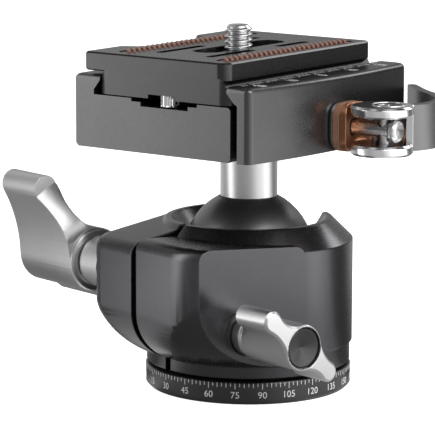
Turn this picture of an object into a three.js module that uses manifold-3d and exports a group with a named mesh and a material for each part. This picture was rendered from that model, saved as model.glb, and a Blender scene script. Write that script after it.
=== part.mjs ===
// Tripod ball head with a lever clamp and a quick-release plate.
// Millimetres, Z up, the base stands on Z = 0. The jaws of the clamp close along X.
import * as THREE from 'three';
import { mergeVertices } from 'three/addons/utils/BufferGeometryUtils.js';
import Module from 'manifold-3d';

const wasm = await Module();
wasm.setup();

const quarter = Math.PI / 2;
const fullTurn = Math.PI * 2;
const rad = THREE.MathUtils.degToRad;

// Fits and small edges shared by every piece.
const play = 0.3;
const overrun = 2;
const nick = 0.4;
const breakEdge = 0.3;

const sides = { large: 72, middle: 44, small: 26, fine: 16, hexagon: 6 };
const arcSteps = { fine: 3, plain: 5, long: 12 };
const rolls = { chamfer: 1, round: 4 };
const counts = { baseScrews: 3, ribs: 26, knurls: 16, leverSteps: 20 };

// The ball sets the size of everything round it.
const ballRest = 15.4;
const ballRadius = 15;
const ball = {
  radius: ballRadius, centre: ballRest + ballRadius, flatCut: 1.7, bore: 4.3, boreDepth: 8.1,
};

// Panning base: the disc with the degree scale, and what holds the housing down on it.
const skirt = 8.65;
const base = { radius: ball.radius + skirt, height: 5.1, edge: 0.8, socket: 4.76, screwCircle: 8.4 };
const baseScrew = { head: 2.9, rim: 0.5, shank: 1.5, sink: 0.3, top: 9.8, hex: 1.1, hexDepth: 1.1 };
const spindle = {
  neck: 11.0, flange: 15.0, flangeFoot: 9.3, top: 12.6, socketTop: 10.6, edge: 0.4,
};
const panRing = { foot: 7.3, height: 1.1, inner: 12.6, outer: 16.2, mouth: 9, eye: 0.8, eyeCircle: 14.2 };
const panWasher = { inner: 11.4, outer: 14.9 };
const discSpring = { inner: 8, outer: 14.4, thick: 0.5, rise: 0.7 };
const seat = { outer: 15.0, hole: 5, foot: 14.3, shy: 7, edge: 0.4 };

// Stem: screwed into the flat on the ball, and into the clamp from above.
const ballFlat = ball.centre + ball.radius - ball.flatCut;
const stem = { radius: 6.575, length: 13.3, spigot: 4.0, spigotDepth: 7.5, threadRise: 2.8, edge: 0.3 };
const stemTop = ballFlat + stem.length;

// Housing: a drum on the same axis as the base, with a square-fronted lobe grown out of it.
const lobeTurn = rad(-13.5);
const panGap = 0.6;
const drum = { proud: 0.35, bandInset: 0.2, rimInset: 4.9, lipWall: 1.5, above: 8.6, shoulderDrop: 4.8, lipRise: 4.5 };
const housing = {
  foot: base.height + panGap, band: base.radius - drum.bandInset, bandTop: 10.4, step: 0.3,
  radius: base.radius + drum.proud, shoulderEdge: 0.5, rimEdge: 0.7, top: ball.centre + drum.above,
};
housing.shoulder = housing.top - drum.shoulderDrop;
housing.rim = housing.radius - drum.rimInset;
housing.mouth = housing.rim - drum.lipWall;
housing.mouthTop = housing.top - nick;
housing.lip = ball.centre + drum.lipRise;

const grown = { front: 9.3, left: 7, right: 0.8, flare: 5, bowl: 3.3, topRight: 2, topLeft: 0.8 };
const lobe = {
  left: grown.left - housing.radius, front: -housing.radius - grown.front, leftCorner: 4.4,
  right: housing.radius + grown.right, rightCorner: 14, facetEnd: -3.3,
  flare: housing.radius + grown.flare, leftEnd: -8, edge: 2.7, facetTurn: rad(-7.9),
  topRight: housing.top - grown.topRight, topRightAt: -26, topRightFall: -0.06,
  topLeft: housing.top - grown.topLeft, topLeftAt: -17, topLeftFall: 0.135,
  noseAcross: 16, noseDown: 13, noseTop: 20.8,
  bowlAxis: 0.8, bowlRadius: housing.radius + grown.front + grown.bowl, bowlAcross: 18.7, bowlDown: 17, bowlTop: 25,
};
const split = { from: -1.4, to: 0.4 };
const drop = { halfWidth: 7.2 };

// Locking knobs: each wing is one arm of the knob, drawn from the knob's own axis.
const mainWing = { angle: rad(-29.35), reach: 19.05, tip: 3.1, before: 32.4, after: 7.8 };
const mainHeel = { angle: rad(142), reach: 9.5, tip: 2.8, before: 8, after: 8 };
const mainInset = 6.3;
const mainLock = {
  y: lobe.front + mainInset, z: 28.7, wall: lobe.left, screw: 3, screwEnd: 12.6, screwIn: 8,
  collar: 5.9, collarLength: 4.4, collarSink: 2.2, hub: 7.45, length: 20.75,
  lead: 0.8, sweep: 7.45, sweepTurn: 11.8, sweepRadius: 19,
  envelope: 24, cap: 6.1, capDepth: 1.6, capDish: 0.9, edge: 0.6, arms: [mainWing, mainHeel],
};
const panWing = { angle: rad(49), reach: 9.8, tip: 2.2, before: 6, after: 8 };
const panHeel = { angle: rad(232), reach: 11.2, tip: 2.4, before: 6, after: 10 };
const panInset = 3.8;
const panLock = {
  y: -18.3, z: 17.4, wall: housing.radius - panInset, screw: 2, screwEnd: 32, screwIn: 6,
  collar: 4.6, collarLength: 3.6, collarSink: 0, hub: 5.1, length: 16.2,
  lead: 1.6, sweep: 6.3, sweepTurn: 5.6, sweepRadius: 8,
  envelope: 16, cap: 4.45, capDepth: 1.6, capDish: 0.9, edge: 0.5, arms: [panWing, panHeel],
};

// Dovetail shared by the clamp, its moving jaw and the plate: half widths, and heights over the clamp's floor.
const dovetail = {
  half: 18.9, neck: 17.2, throat: 16.4, widest: 1.1, neckFrom: 3, neckTo: 4.2, slab: 5.3, tilt: 0.2,
};

const clampRise = 12;
const clampFloor = stemTop + clampRise;
const clamp = {
  near: -32.5, far: 28.5, left: -24.4, right: dovetail.half - play, foot: stemTop, footEdge: 0.7,
  floor: clampFloor, floorEdge: 0.9, lipRise: 3.3, jawRise: 4.5, topEdge: 1.2,
  flank: -dovetail.half - play, lip: -dovetail.neck - play, lipFoot: clampFloor + dovetail.widest,
  stepLeft: -8.6, stepRight: 9.6, stepDepth: 0.7,
  channelLeft: -6.0, channelRight: 7.1, channelDepth: 1.65, nearPocketEnd: -13, farPocketEnd: 8,
};
clamp.top = clamp.floor + clamp.jawRise;
const clampScrew = { head: 4.7, headRise: 3.5, headHeight: 5, shank: 3, depth: 9.8, hex: 2.5, hexDepth: 2.6 };
const jawStand = { root: 1.5, flank: 0.5, rootRise: 0.5, noseDrop: 1.3 };
const jaw = {
  inner: dovetail.half + jawStand.root, nose: dovetail.neck + play, flankX: dovetail.half + jawStand.flank,
  top: clamp.top, noseFoot: clamp.top - jawStand.noseDrop, flankZ: clamp.lipFoot, root: clampFloor + jawStand.rootRise,
  bow: 210, bowCrown: 26.3, bowCentreY: 1.5, corner: 1.6, farCorner: 3, edge: 1.2,
};
const boltRise = 5.3;
const guide = { radius: 1.5, from: 8.3, to: 23.4, at: [-20, 18], z: stemTop + boltRise, blind: 23.9 };

// Pads stacked outwards from the crown of the jaw, and the cam that bears on the last of them.
const padStack = { air: 0.05, shim: 0.35, inner: 1.7, outer: 1.85, floor: 0.45, seatGap: 0.4 };
const shimDark = jaw.bowCrown + padStack.air;
const shimSteel = shimDark + padStack.shim + padStack.air;
const padInner = shimSteel + padStack.shim + padStack.air;
const padOuter = padInner + padStack.inner + padStack.air;
const camHang = 0.1;
const camRadius = 7.05;
const cam = {
  y: -0.8, z: stemTop + boltRise, radius: camRadius, offset: 0.7, foot: stemTop - camHang, height: 10.9,
  centre: padOuter + padStack.floor + padStack.seatGap + camRadius,
  disc: 2.4, edge: 0.5, pin: 1.2, webInner: 5.5, webFrom: rad(20), webTo: rad(140),
};
cam.top = cam.foot + cam.height;
const pads = {
  halfWidth: 5.2, corner: 3, shimFoot: stemTop + play, foot: stemTop, top: cam.top,
  seatRadius: 10.2, seatFloor: padOuter + padStack.floor,
};
const boltReach = { head: 2.3, end: 4.8 };
const bolt = {
  radius: 1.7, from: 9.3, headFrom: cam.centre + boltReach.head, head: 2.75, end: cam.centre + boltReach.end,
  round: 1.2, hex: 1.45, hexDepth: 1.6,
};
const leverInset = { foot: 0.4, top: 0.2 };
const lever = {
  half: 1.1, foot: cam.foot + leverInset.foot, top: cam.top - leverInset.top,
  path: [[2.4, 3.2], [4.5, 6.6], [5.2, 11], [3.9, 16.8], [-0.4, 22], [-8, 27.8], [-14.6, 34]],
};

// Quick-release plate, its camera screw, rubber and stop screws.
const plateThick = 4.2;
const slabFoot = clampFloor + dovetail.slab;
const plate = {
  near: -32.5, far: 24.0, left: -21.8, right: 17.4, foot: slabFoot, top: slabFoot + plateThick, edge: 0.35,
  nearRight: 2.5, nearLeft: 0.8, farCorner: 2,
  cutDepth: -17.4, cutNear: -17.0, cutFar: 6.0, cutRun: 2.6, cutCorner: 2.4,
  flare: clampFloor + dovetail.widest, neckFoot: clampFloor + dovetail.neckFrom,
  neckTop: clampFloor + dovetail.neckTo, blockFoot: clampFloor + play,
  blockCorner: 3.4, blockEdge: 0.4,
  notchLeft: -3.9, notchRight: 3.4, notchTop: clampFloor + dovetail.widest + breakEdge / 3, notchLength: 6,
};
const cameraScrew = {
  y: -4.25, radius: 3.175, proud: 5, head: 5.5, headHeight: 3, headDrop: 1.3, point: 0.7,
  slotHalf: 3.5, slotNear: -19, slotFar: 11, coin: 1.1, coinDepth: 1.2,
};
cameraScrew.top = plate.top + cameraScrew.proud;
cameraScrew.headTop = plate.foot - cameraScrew.headDrop;
cameraScrew.headFoot = cameraScrew.headTop - cameraScrew.headHeight;
const sideSlots = { x: 6.9, half: 1.1, spans: [[-25, -8], [1, 13]] };
const strips = {
  x: 13.5, half: 1.65, near: -29, far: 20, depth: 0.8, proud: 0.1, ribWidth: 0.95,
  ribTop: 0.55, ribTurn: rad(35),
};
const stopScrew = {
  x: 0.4, near: -30.2, far: 21.6, cap: 1.9, toothShare: 0.9, capHeight: 2.35, stud: 1.0, studLength: 3.2,
};
stopScrew.foot = clampFloor - clamp.channelDepth + play;
stopScrew.capTop = stopScrew.foot + stopScrew.capHeight;
stopScrew.studTop = stopScrew.capTop + stopScrew.studLength;

const finish = {
  blackSatin: { color: 0x2b2b2d, roughness: 0.42, metalness: 0.75 },
  blackEnd: { color: 0x3a3a3c, roughness: 0.45, metalness: 0.75 },
  ballDark: { color: 0x3c3c3e, roughness: 0.38, metalness: 0.8 },
  silver: { color: 0xb9b9bb, roughness: 0.34, metalness: 0.95 },
  chrome: { color: 0xdcdcde, roughness: 0.12, metalness: 1.0 },
  steel: { color: 0x9a9a9c, roughness: 0.3, metalness: 1.0 },
  darkSteel: { color: 0x55565a, roughness: 0.4, metalness: 0.9 },
  polymer: { color: 0xdad6cc, roughness: 0.6, metalness: 0.0 },
  brownPad: { color: 0x7a4a2e, roughness: 0.6, metalness: 0.1 },
  copper: { color: 0xa8643c, roughness: 0.35, metalness: 0.7 },
  rubber: { color: 0x7c4636, roughness: 0.85, metalness: 0.0 },
};

// Making closed solids from three.js geometries.
function solid(geometry) {
  geometry.deleteAttribute('normal');
  geometry.deleteAttribute('uv');
  const merged = mergeVertices(geometry);
  const corners = merged.getIndex().array;
  const at = merged.getAttribute('position');
  const kept = [];
  let volume = 0;
  for (let i = 0; i < corners.length; i += 3) {
    const [a, b, c] = corners.slice(i, i + 3);
    if (a === b || b === c || c === a) continue;
    kept.push(a, b, c);
    const [p, q, r] = [a, b, c].map((corner) => new THREE.Vector3().fromBufferAttribute(at, corner));
    volume += p.dot(q.cross(r));
  }
  if (volume < 0) kept.reverse();
  const vertProperties = new Float32Array(at.array);
  return new wasm.Manifold(new wasm.Mesh({ numProp: 3, vertProperties, triVerts: new Uint32Array(kept) }));
}

function node(name, shape, look) {
  const { vertProperties, triVerts } = shape.getMesh();
  const geometry = new THREE.BufferGeometry();
  geometry.setAttribute('position', new THREE.BufferAttribute(vertProperties, 3));
  geometry.setIndex(new THREE.BufferAttribute(triVerts, 1));
  geometry.computeVertexNormals();
  const mesh = new THREE.Mesh(geometry, new THREE.MeshStandardMaterial(look));
  mesh.name = name;
  return mesh;
}

// Straight-sided outline whose corners [x, y, radius] are rounded by true arcs.
function outline(corners) {
  const shape = new THREE.Shape();
  corners.forEach(([x, y, radius = 0], i) => {
    const corner = new THREE.Vector2(x, y);
    const last = corners.at(i - 1);
    const next = corners[(i + 1) % corners.length];
    const back = new THREE.Vector2(last[0], last[1]).sub(corner).normalize();
    const ahead = new THREE.Vector2(next[0], next[1]).sub(corner).normalize();
    const half = back.angleTo(ahead) / 2;
    const run = radius === 0 ? 0 : radius / Math.tan(half);
    const start = corner.clone().addScaledVector(back, run);
    if (i === 0) shape.moveTo(start.x, start.y);
    else shape.lineTo(start.x, start.y);
    if (radius === 0) return;
    const centre = corner.clone().addScaledVector(back.clone().add(ahead).normalize(), radius / Math.sin(half));
    const end = corner.clone().addScaledVector(ahead, run);
    const from = start.clone().sub(centre).angle();
    const to = end.clone().sub(centre).angle();
    shape.absarc(centre.x, centre.y, radius, from, to, back.cross(ahead) > 0);
  });
  return shape;
}

function box(x0, x1, y0, y1, z0, z1) {
  const geometry = new THREE.BoxGeometry(x1 - x0, y1 - y0, z1 - z0);
  return solid(geometry.translate((x0 + x1) / 2, (y0 + y1) / 2, (z0 + z1) / 2));
}

// Upright extrusion of a plan outline.
function prism(shape, foot, top, steps = arcSteps.plain) {
  const geometry = new THREE.ExtrudeGeometry(shape, {
    depth: top - foot, bevelEnabled: false, curveSegments: steps,
  });
  return solid(geometry.translate(0, 0, foot));
}

// Upright extrusion whose two ends are rolled over by the same radius all round.
function rolledPrism(shape, foot, top, edge, bevelSegments, steps = arcSteps.plain) {
  const depth = top - foot - edge - edge;
  const geometry = new THREE.ExtrudeGeometry(shape, {
    depth, bevelEnabled: true, curveSegments: steps,
    bevelThickness: edge, bevelSize: edge, bevelOffset: -edge, bevelSegments,
  });
  return geometry.translate(0, 0, foot + edge);
}

// Extrusion of an X-Z outline along Y.
function bar(shape, near, far, steps = arcSteps.fine) {
  const geometry = new THREE.ExtrudeGeometry(shape, {
    depth: far - near, bevelEnabled: false, curveSegments: steps,
  });
  return solid(geometry.rotateX(quarter).translate(0, far, 0));
}

// Extrusion of a Y-Z outline along X.
function sideways(shape, from, to, steps = arcSteps.fine) {
  const geometry = new THREE.ExtrudeGeometry(shape, {
    depth: to - from, bevelEnabled: false, curveSegments: steps,
  });
  // the outline's X becomes Y, its Y becomes Z and the depth runs along X
  geometry.applyMatrix4(new THREE.Matrix4().set(0, 0, 1, 0, 1, 0, 0, 0, 0, 1, 0, 0, 0, 0, 0, 1));
  return solid(geometry.translate(from, 0, 0));
}

// Solid of revolution round Z from [radius, height] corners.
function turned(corners, segments = sides.middle, steps = arcSteps.fine) {
  return revolved(outline(corners), segments, steps);
}

function revolved(shape, segments, steps) {
  const profile = shape.getPoints(steps);
  const first = profile[0];
  if (!first.equals(profile.at(-1))) profile.push(first.clone());
  return solid(new THREE.LatheGeometry(profile, segments).rotateX(quarter));
}

function rod(radius, foot, top, segments = sides.small) {
  const geometry = new THREE.CylinderGeometry(radius, radius, top - foot, segments);
  return solid(geometry.rotateX(quarter).translate(0, 0, (foot + top) / 2));
}

// Turns an upright solid so that its +Z points along +X, then carries it to a place.
function lying(upright, x, y, z) {
  return upright.rotate([0, 90, 0]).translate([x, y, z]);
}

// Six-sided socket cutter from half its width across the flats.
function hexagon(halfFlats, foot, top) {
  const corner = halfFlats / Math.cos(Math.PI / sides.hexagon);
  return rod(corner, foot, top, sides.hexagon);
}

// Upright slot with round ends.
function slot(halfWidth, y0, y1, x, foot, top) {
  const end = halfWidth - breakEdge / 2;
  const corners = [[x - halfWidth, y0, end], [x + halfWidth, y0, end],
    [x + halfWidth, y1, end], [x - halfWidth, y1, end]];
  return prism(outline(corners), foot, top, arcSteps.fine);
}

// Makes one solid for each item and joins them all.
function each(items, make) {
  return items.reduce((all, item) => {
    const one = make(item);
    return all ? all.add(one) : one;
  }, null);
}

function screwPlaces() {
  const { baseScrews } = counts;
  return Array.from({ length: baseScrews }, (_, i) => {
    const angle = (i * fullTurn) / baseScrews + quarter;
    return [base.screwCircle * Math.cos(angle), base.screwCircle * Math.sin(angle)];
  });
}

function countersunk(room, foot, top) {
  const { head, rim, shank } = baseScrew;
  const cone = foot + rim;
  return turned([[0, foot], [head + room, foot], [head + room, cone], [shank + room, cone + head - shank],
    [shank + room, top], [0, top]], sides.fine);
}

function screwHoles() {
  const { sink, top } = baseScrew;
  const cutter = countersunk(play, 0, top + play).add(rod(baseScrew.head + play, -overrun, sink, sides.fine));
  return each(screwPlaces(), ([x, y]) => cutter.translate([x, y, 0]));
}

function panningBase() {
  const { radius, height, edge, socket } = base;
  const disc = turned([[socket, 0], [radius - edge, 0], [radius, edge], [radius, height - breakEdge],
    [radius - breakEdge, height], [socket, height]], sides.large);
  return disc.subtract(screwHoles());
}

function panSpindle() {
  const { neck, flange, flangeFoot, top, socketTop, edge } = spindle;
  const core = turned([[0, socketTop], [base.socket, socketTop], [base.socket, base.height],
    [neck, base.height], [neck, flangeFoot], [flange - edge, flangeFoot], [flange, flangeFoot + edge],
    [flange, top - edge], [flange - edge, top], [0, top]], sides.middle);
  return core.subtract(screwHoles());
}

function baseScrewPiece() {
  const { sink, top, hex, hexDepth } = baseScrew;
  return countersunk(0, sink, top).subtract(hexagon(hex, sink - overrun, sink + hexDepth));
}

function panRetainingRing() {
  const { foot, height, inner, outer, mouth, eye, eyeCircle } = panRing;
  const top = foot + height;
  const ring = turned([[inner, foot], [outer, foot], [outer, top], [inner, top]], sides.middle);
  const gap = box(-mouth / 2, mouth / 2, -outer - overrun, 0, foot - overrun, top + overrun);
  const ears = [-1, 1].map((side) => side * (mouth / 2 + eye + eye));
  const eyes = each(ears, (x) => rod(eye, foot - overrun, top + overrun, sides.fine)
    .translate([x, -Math.sqrt(eyeCircle ** 2 - x ** 2), 0]));
  return ring.subtract(gap).subtract(eyes);
}

function flatWasher(inner, outer, foot, top) {
  return turned([[inner, foot], [outer, foot], [outer, top], [inner, top]], sides.middle);
}

function seatSpring() {
  const { inner, outer, thick, rise } = discSpring;
  const foot = spindle.top;
  return turned([[inner, foot], [outer, foot + rise], [outer, foot + rise + thick], [inner, foot + thick]],
    sides.middle);
}

const cavity = ball.radius + play;

function ballSeat() {
  const { outer, hole, foot, shy, edge } = seat;
  const top = ball.centre - shy;
  const blank = turned([[hole, foot], [outer - edge, foot], [outer, foot + edge], [outer, top], [hole, top]],
    sides.middle);
  const hollow = new THREE.SphereGeometry(cavity, sides.small, sides.fine).rotateX(quarter);
  return blank.subtract(solid(hollow.translate(0, 0, ball.centre)));
}

function ballPiece() {
  const { radius, centre, bore, boreDepth } = ball;
  const sphere = new THREE.SphereGeometry(radius, sides.middle, sides.small).rotateX(quarter);
  return solid(sphere.translate(0, 0, centre))
    .subtract(rod(radius, ballFlat, ballFlat + radius))
    .subtract(rod(bore, ballFlat - boreDepth, ballFlat + overrun, sides.fine));
}

function stemPiece() {
  const { radius, spigot, spigotDepth, threadRise, edge } = stem;
  const foot = ballFlat - spigotDepth;
  const post = turned([[0, foot], [spigot - edge, foot], [spigot, foot + edge],
    [spigot, ballFlat], [radius - edge, ballFlat], [radius, ballFlat + edge],
    [radius, stemTop - edge], [radius - edge, stemTop], [0, stemTop]], sides.middle);
  return post.subtract(rod(clampScrew.shank + play, ballFlat + threadRise, stemTop + overrun, sides.fine));
}

// Quarter ellipse from its lowest point round to its widest, standing on a floor line.
function bowlProfile(left, right, foot, rise, top) {
  const shape = new THREE.Shape();
  shape.moveTo(0, top);
  shape.lineTo(0, foot);
  shape.lineTo(left, foot);
  shape.absellipse(left, foot + rise, right - left, rise, -quarter, 0, false);
  shape.lineTo(right, top);
  return shape;
}

function bowl() {
  const { bowlAxis, bowlRadius, bowlAcross, bowlDown, bowlTop } = lobe;
  const shape = bowlProfile(bowlRadius - bowlAcross, bowlRadius, bowlTop - bowlDown, bowlDown,
    housing.top + overrun);
  return revolved(shape, sides.large, arcSteps.long).translate([bowlAxis, 0, 0]);
}

// The front of the lobe seen from the side: a quarter ellipse under an upright face.
function nose() {
  const { front, noseAcross, noseDown, noseTop, left, flare } = lobe;
  const foot = noseTop - noseDown;
  const shape = new THREE.Shape();
  shape.moveTo(overrun, foot);
  shape.lineTo(overrun, housing.top + overrun);
  shape.lineTo(front, housing.top + overrun);
  shape.lineTo(front, noseTop);
  shape.absellipse(front + noseAcross, noseTop, noseAcross, noseDown, Math.PI, Math.PI + quarter, false);
  return sideways(shape, left - overrun, flare + overrun, arcSteps.long);
}

// One half of the lobe: upright walls under a rolled top edge, the top sloping along Y.
function lobeHalf(level, at, fall) {
  const { left, front, leftCorner, right, rightCorner, facetEnd, flare, leftEnd, edge } = lobe;
  const plan = outline([[left, front, leftCorner], [right, front, rightCorner], [flare, facetEnd],
    [0, facetEnd], [0, leftEnd], [left, leftEnd]]);
  const geometry = rolledPrism(plan, -housing.foot, level, edge, rolls.round, arcSteps.plain);
  geometry.translate(0, -at, 0);
  geometry.applyMatrix4(new THREE.Matrix4().makeShear(0, 0, 0, fall, 0, 0));
  return solid(geometry.translate(0, at, 0));
}

function lobeSolid() {
  const { facetTurn, topRight, topRightAt, topRightFall, topLeft, topLeftAt, topLeftFall } = lobe;
  const reach = lobe.bowlRadius + lobe.bowlRadius;
  const middle = (split.from + split.to) / 2;
  const right = lobeHalf(topRight, topRightAt, topRightFall)
    .intersect(box(middle, reach, -reach, reach, 0, housing.top));
  const left = lobeHalf(topLeft, topLeftAt, topLeftFall)
    .intersect(box(-reach, middle, -reach, reach, 0, housing.top));
  const facet = box(housing.radius, reach, -reach, reach, -overrun, housing.top + overrun)
    .rotate([0, 0, THREE.MathUtils.radToDeg(facetTurn)]);
  return right.add(left).intersect(nose()).intersect(bowl()).subtract(facet);
}

function housingDrum() {
  const { foot, band, bandTop, step, radius, shoulder, shoulderEdge, rim, top, rimEdge } = housing;
  return turned([[0, foot], [band - nick, foot], [band, foot + nick], [band, bandTop],
    [radius, bandTop + step], [radius, shoulder, shoulderEdge], [rim, top, rimEdge], [0, top]], sides.large);
}

// Everything hollow inside the housing: bore, ball cavity, mouth and ring groove.
function housingHollow() {
  const { foot, mouth, mouthTop, lip, top } = housing;
  const lipRadius = Math.sqrt(cavity ** 2 - (lip - ball.centre) ** 2);
  const bore = rod(cavity, foot - overrun, ball.centre, sides.middle);
  const sphere = new THREE.SphereGeometry(cavity, sides.middle, sides.small).rotateX(quarter);
  const funnel = turned([[0, lip - nick], [lipRadius, lip - nick], [lipRadius, lip], [mouth, mouthTop],
    [mouth + nick, top + nick], [mouth + nick, top + overrun], [0, top + overrun]], sides.large);
  const groove = rod(panRing.outer + play, panRing.foot - play, panRing.foot + panRing.height, sides.middle);
  return bore.add(solid(sphere.translate(0, 0, ball.centre))).add(funnel).add(groove);
}

// The U-shaped notch at the back that lets the stem lie down level.
function dropNotch() {
  const { halfWidth } = drop;
  const tall = housing.top + overrun - ball.centre;
  const throat = box(-halfWidth, halfWidth, 0, housing.radius + overrun, ball.centre, ball.centre + tall);
  const floor = rod(halfWidth, 0, housing.radius + overrun, sides.small).rotate([-90, 0, 0]);
  return throat.add(floor.translate([0, 0, ball.centre]));
}

function housingPiece() {
  const { foot, top, radius } = housing;
  const slit = box(split.from, split.to, lobe.front - overrun, 0, foot - overrun, top + overrun);
  const mainHole = rod(mainLock.screw + play, lobe.left - overrun, mainLock.screwEnd + play);
  const panLength = panLock.screwEnd + play;
  const panHole = rod(panLock.screw + play, panLock.wall - panLength, panLock.wall + overrun, sides.fine);
  const mainSpot = rod(mainLock.collar + play, lobe.left - overrun, lobe.left + mainLock.collarSink + play);
  const panSpot = rod(panLock.collar + play, panLock.wall - play, radius + overrun);
  return housingDrum().add(lobeSolid())
    .subtract(housingHollow())
    .subtract(dropNotch())
    .subtract(slit)
    .subtract(lying(mainHole.add(mainSpot), 0, mainLock.y, mainLock.z))
    .subtract(lying(panHole.add(panSpot), 0, panLock.y, panLock.z));
}

// Where a flank's arc touches the hub and the tip of one arm, side by side.
function flankOf(hub, arm, side) {
  const radius = side < 0 ? arm.before : arm.after;
  const out = hub + radius;
  const across = arm.tip + radius;
  const spread = Math.acos((out ** 2 + arm.reach ** 2 - across ** 2) / (2 * arm.reach * out));
  const hubAngle = arm.angle + side * spread;
  const centre = new THREE.Vector2(out * Math.cos(hubAngle), out * Math.sin(hubAngle));
  const tip = new THREE.Vector2(arm.reach * Math.cos(arm.angle), arm.reach * Math.sin(arm.angle));
  const tipAngle = centre.clone().sub(tip).angle();
  return { radius, hubAngle, centre, tip, tipAngle };
}

// Outline of a wing knob: a round hub, with arms whose flanks are swept arcs.
function wingOutline(hub, arms) {
  const flanks = arms.map((arm) => [flankOf(hub, arm, -1), flankOf(hub, arm, 1)]);
  const shape = new THREE.Shape();
  const first = flanks[0][0].hubAngle;
  shape.moveTo(hub * Math.cos(first), hub * Math.sin(first));
  flanks.forEach(([before, after], i) => {
    const { tip } = arms[i];
    const centreIn = before.centre;
    const centreOut = after.centre;
    shape.absarc(centreIn.x, centreIn.y, before.radius,
      before.hubAngle + Math.PI, before.tipAngle + Math.PI, true);
    shape.absarc(before.tip.x, before.tip.y, tip, before.tipAngle, after.tipAngle, false);
    shape.absarc(centreOut.x, centreOut.y, after.radius,
      after.tipAngle + Math.PI, after.hubAngle + Math.PI, true);
    const next = flanks[(i + 1) % flanks.length][0];
    shape.absarc(0, 0, hub, after.hubAngle, next.hubAngle, false);
  });
  return shape;
}

// The turned envelope: a plain hub sweeping out to the full reach of the arms.
function knobEnvelope({ hub, length, lead, sweep, sweepTurn, sweepRadius, envelope }) {
  const shape = new THREE.Shape();
  shape.moveTo(0, 0);
  shape.lineTo(hub - nick, 0);
  shape.lineTo(hub, nick);
  shape.lineTo(hub, lead);
  shape.quadraticCurveTo(sweepTurn, nick, sweepRadius, sweep);
  shape.lineTo(envelope, sweep);
  shape.lineTo(envelope, length);
  shape.lineTo(0, length);
  return revolved(shape, sides.large, arcSteps.plain);
}

function wingKnob(lock) {
  const plan = wingOutline(lock.hub, lock.arms);
  const wing = solid(rolledPrism(plan, -lock.edge, lock.length, lock.edge, rolls.chamfer));
  const recess = rod(lock.cap + play, lock.length - lock.capDepth - lock.capDish, lock.length + overrun);
  const bore = rod(lock.screw + play, -overrun, lock.screwIn + play, sides.fine);
  return wing.intersect(knobEnvelope(lock)).subtract(recess).subtract(bore);
}

function knobCap({ cap, capDepth, capDish, length }) {
  const face = length - nick;
  return turned([[0, length - capDepth - capDish], [cap, length - capDepth - capDish],
    [cap, face - breakEdge], [cap - breakEdge, face], [cap - breakEdge - breakEdge, face],
    [breakEdge, face - capDish], [0, face - capDish]], sides.small);
}

function knobCollar({ collar, collarLength, collarSink, screw }) {
  return turned([[screw + play, -collarSink], [collar, -collarSink], [collar, collarLength - nick],
    [collar - nick, collarLength], [screw + play, collarLength]], sides.small);
}

// Screw with its point at -reach and its other end inside the knob.
function lockScrew({ screw, screwIn, collarLength }, reach) {
  const end = collarLength + play + screwIn;
  return turned([[0, -reach], [screw - nick, -reach], [screw, nick - reach], [screw, end - nick],
    [screw - nick, end], [0, end]], sides.fine);
}

function clampBody() {
  const c = clamp;
  const stepFloor = c.floor - c.stepDepth;
  const section = outline([[c.left, c.foot + c.footEdge], [c.left + c.footEdge, c.foot],
    [c.right - c.footEdge, c.foot], [c.right, c.foot + c.footEdge], [c.right, c.floor, c.floorEdge],
    [c.stepRight, c.floor], [c.stepRight, stepFloor], [c.stepLeft, stepFloor], [c.stepLeft, c.floor],
    [c.flank, c.floor], [c.flank, c.lipFoot], [c.lip, c.floor + c.lipRise], [c.lip, c.top, breakEdge],
    [c.left, c.top, c.topEdge]]);
  const profile = outline([[c.near, c.foot], [c.far, c.foot], [c.far, c.top, c.topEdge],
    [c.near, c.top, c.topEdge]]);
  const rounded = bar(section, c.near, c.far).intersect(sideways(profile, c.left - overrun, c.right + overrun));
  const channelFloor = c.floor - c.channelDepth;
  const pocket = (near, far) => box(c.channelLeft, c.channelRight, near, far, channelFloor, c.top);
  const pockets = pocket(c.near - overrun, c.nearPocketEnd).add(pocket(c.farPocketEnd, c.far + overrun));
  const s = clampScrew;
  const headFoot = c.foot + s.headRise;
  const well = rod(s.head + play, headFoot, c.top).add(rod(s.shank + play, c.foot - overrun, headFoot + nick));
  const pinHoles = each(guide.at, (y) => lying(rod(guide.radius + play, guide.from - play,
    c.right + overrun, sides.fine), 0, y, guide.z));
  const boltHole = lying(rod(bolt.radius + play, bolt.from - play, c.right + overrun, sides.fine),
    0, cam.y, cam.z);
  return rounded.subtract(pockets).subtract(well).subtract(pinHoles).subtract(boltHole);
}

function clampScrewPiece() {
  const { head, headRise, headHeight, shank, depth, hex, hexDepth } = clampScrew;
  const foot = clamp.foot - depth;
  const headFoot = clamp.foot + headRise;
  const headTop = headFoot + headHeight;
  return turned([[0, foot], [shank - nick, foot], [shank, foot + nick], [shank, headFoot],
    [head, headFoot], [head, headTop - nick], [head - nick, headTop], [0, headTop]], sides.small)
    .subtract(hexagon(hex, headTop - hexDepth, headTop + overrun));
}

// Plan of the moving jaw: straight inside, gently bowed outside.
function jawPlan() {
  const { bow, bowCrown, bowCentreY, corner, farCorner, nose: tip } = jaw;
  const inside = tip - overrun;
  const centreX = bowCrown - bow;
  const bulge = (y) => centreX + Math.sqrt(bow ** 2 - (y - bowCentreY) ** 2);
  const nearY = clamp.near + corner;
  const farY = clamp.far - farCorner;
  const shape = new THREE.Shape();
  shape.moveTo(inside, clamp.near);
  shape.lineTo(bulge(nearY) - corner, clamp.near);
  shape.absarc(bulge(nearY) - corner, nearY, corner, -quarter, 0, false);
  const angle = (y) => Math.asin((y - bowCentreY) / bow);
  shape.absarc(centreX, bowCentreY, bow, angle(nearY), angle(farY), false);
  shape.absarc(bulge(farY) - farCorner, farY, farCorner, 0, quarter, false);
  shape.lineTo(inside, clamp.far);
  return shape;
}

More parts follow.
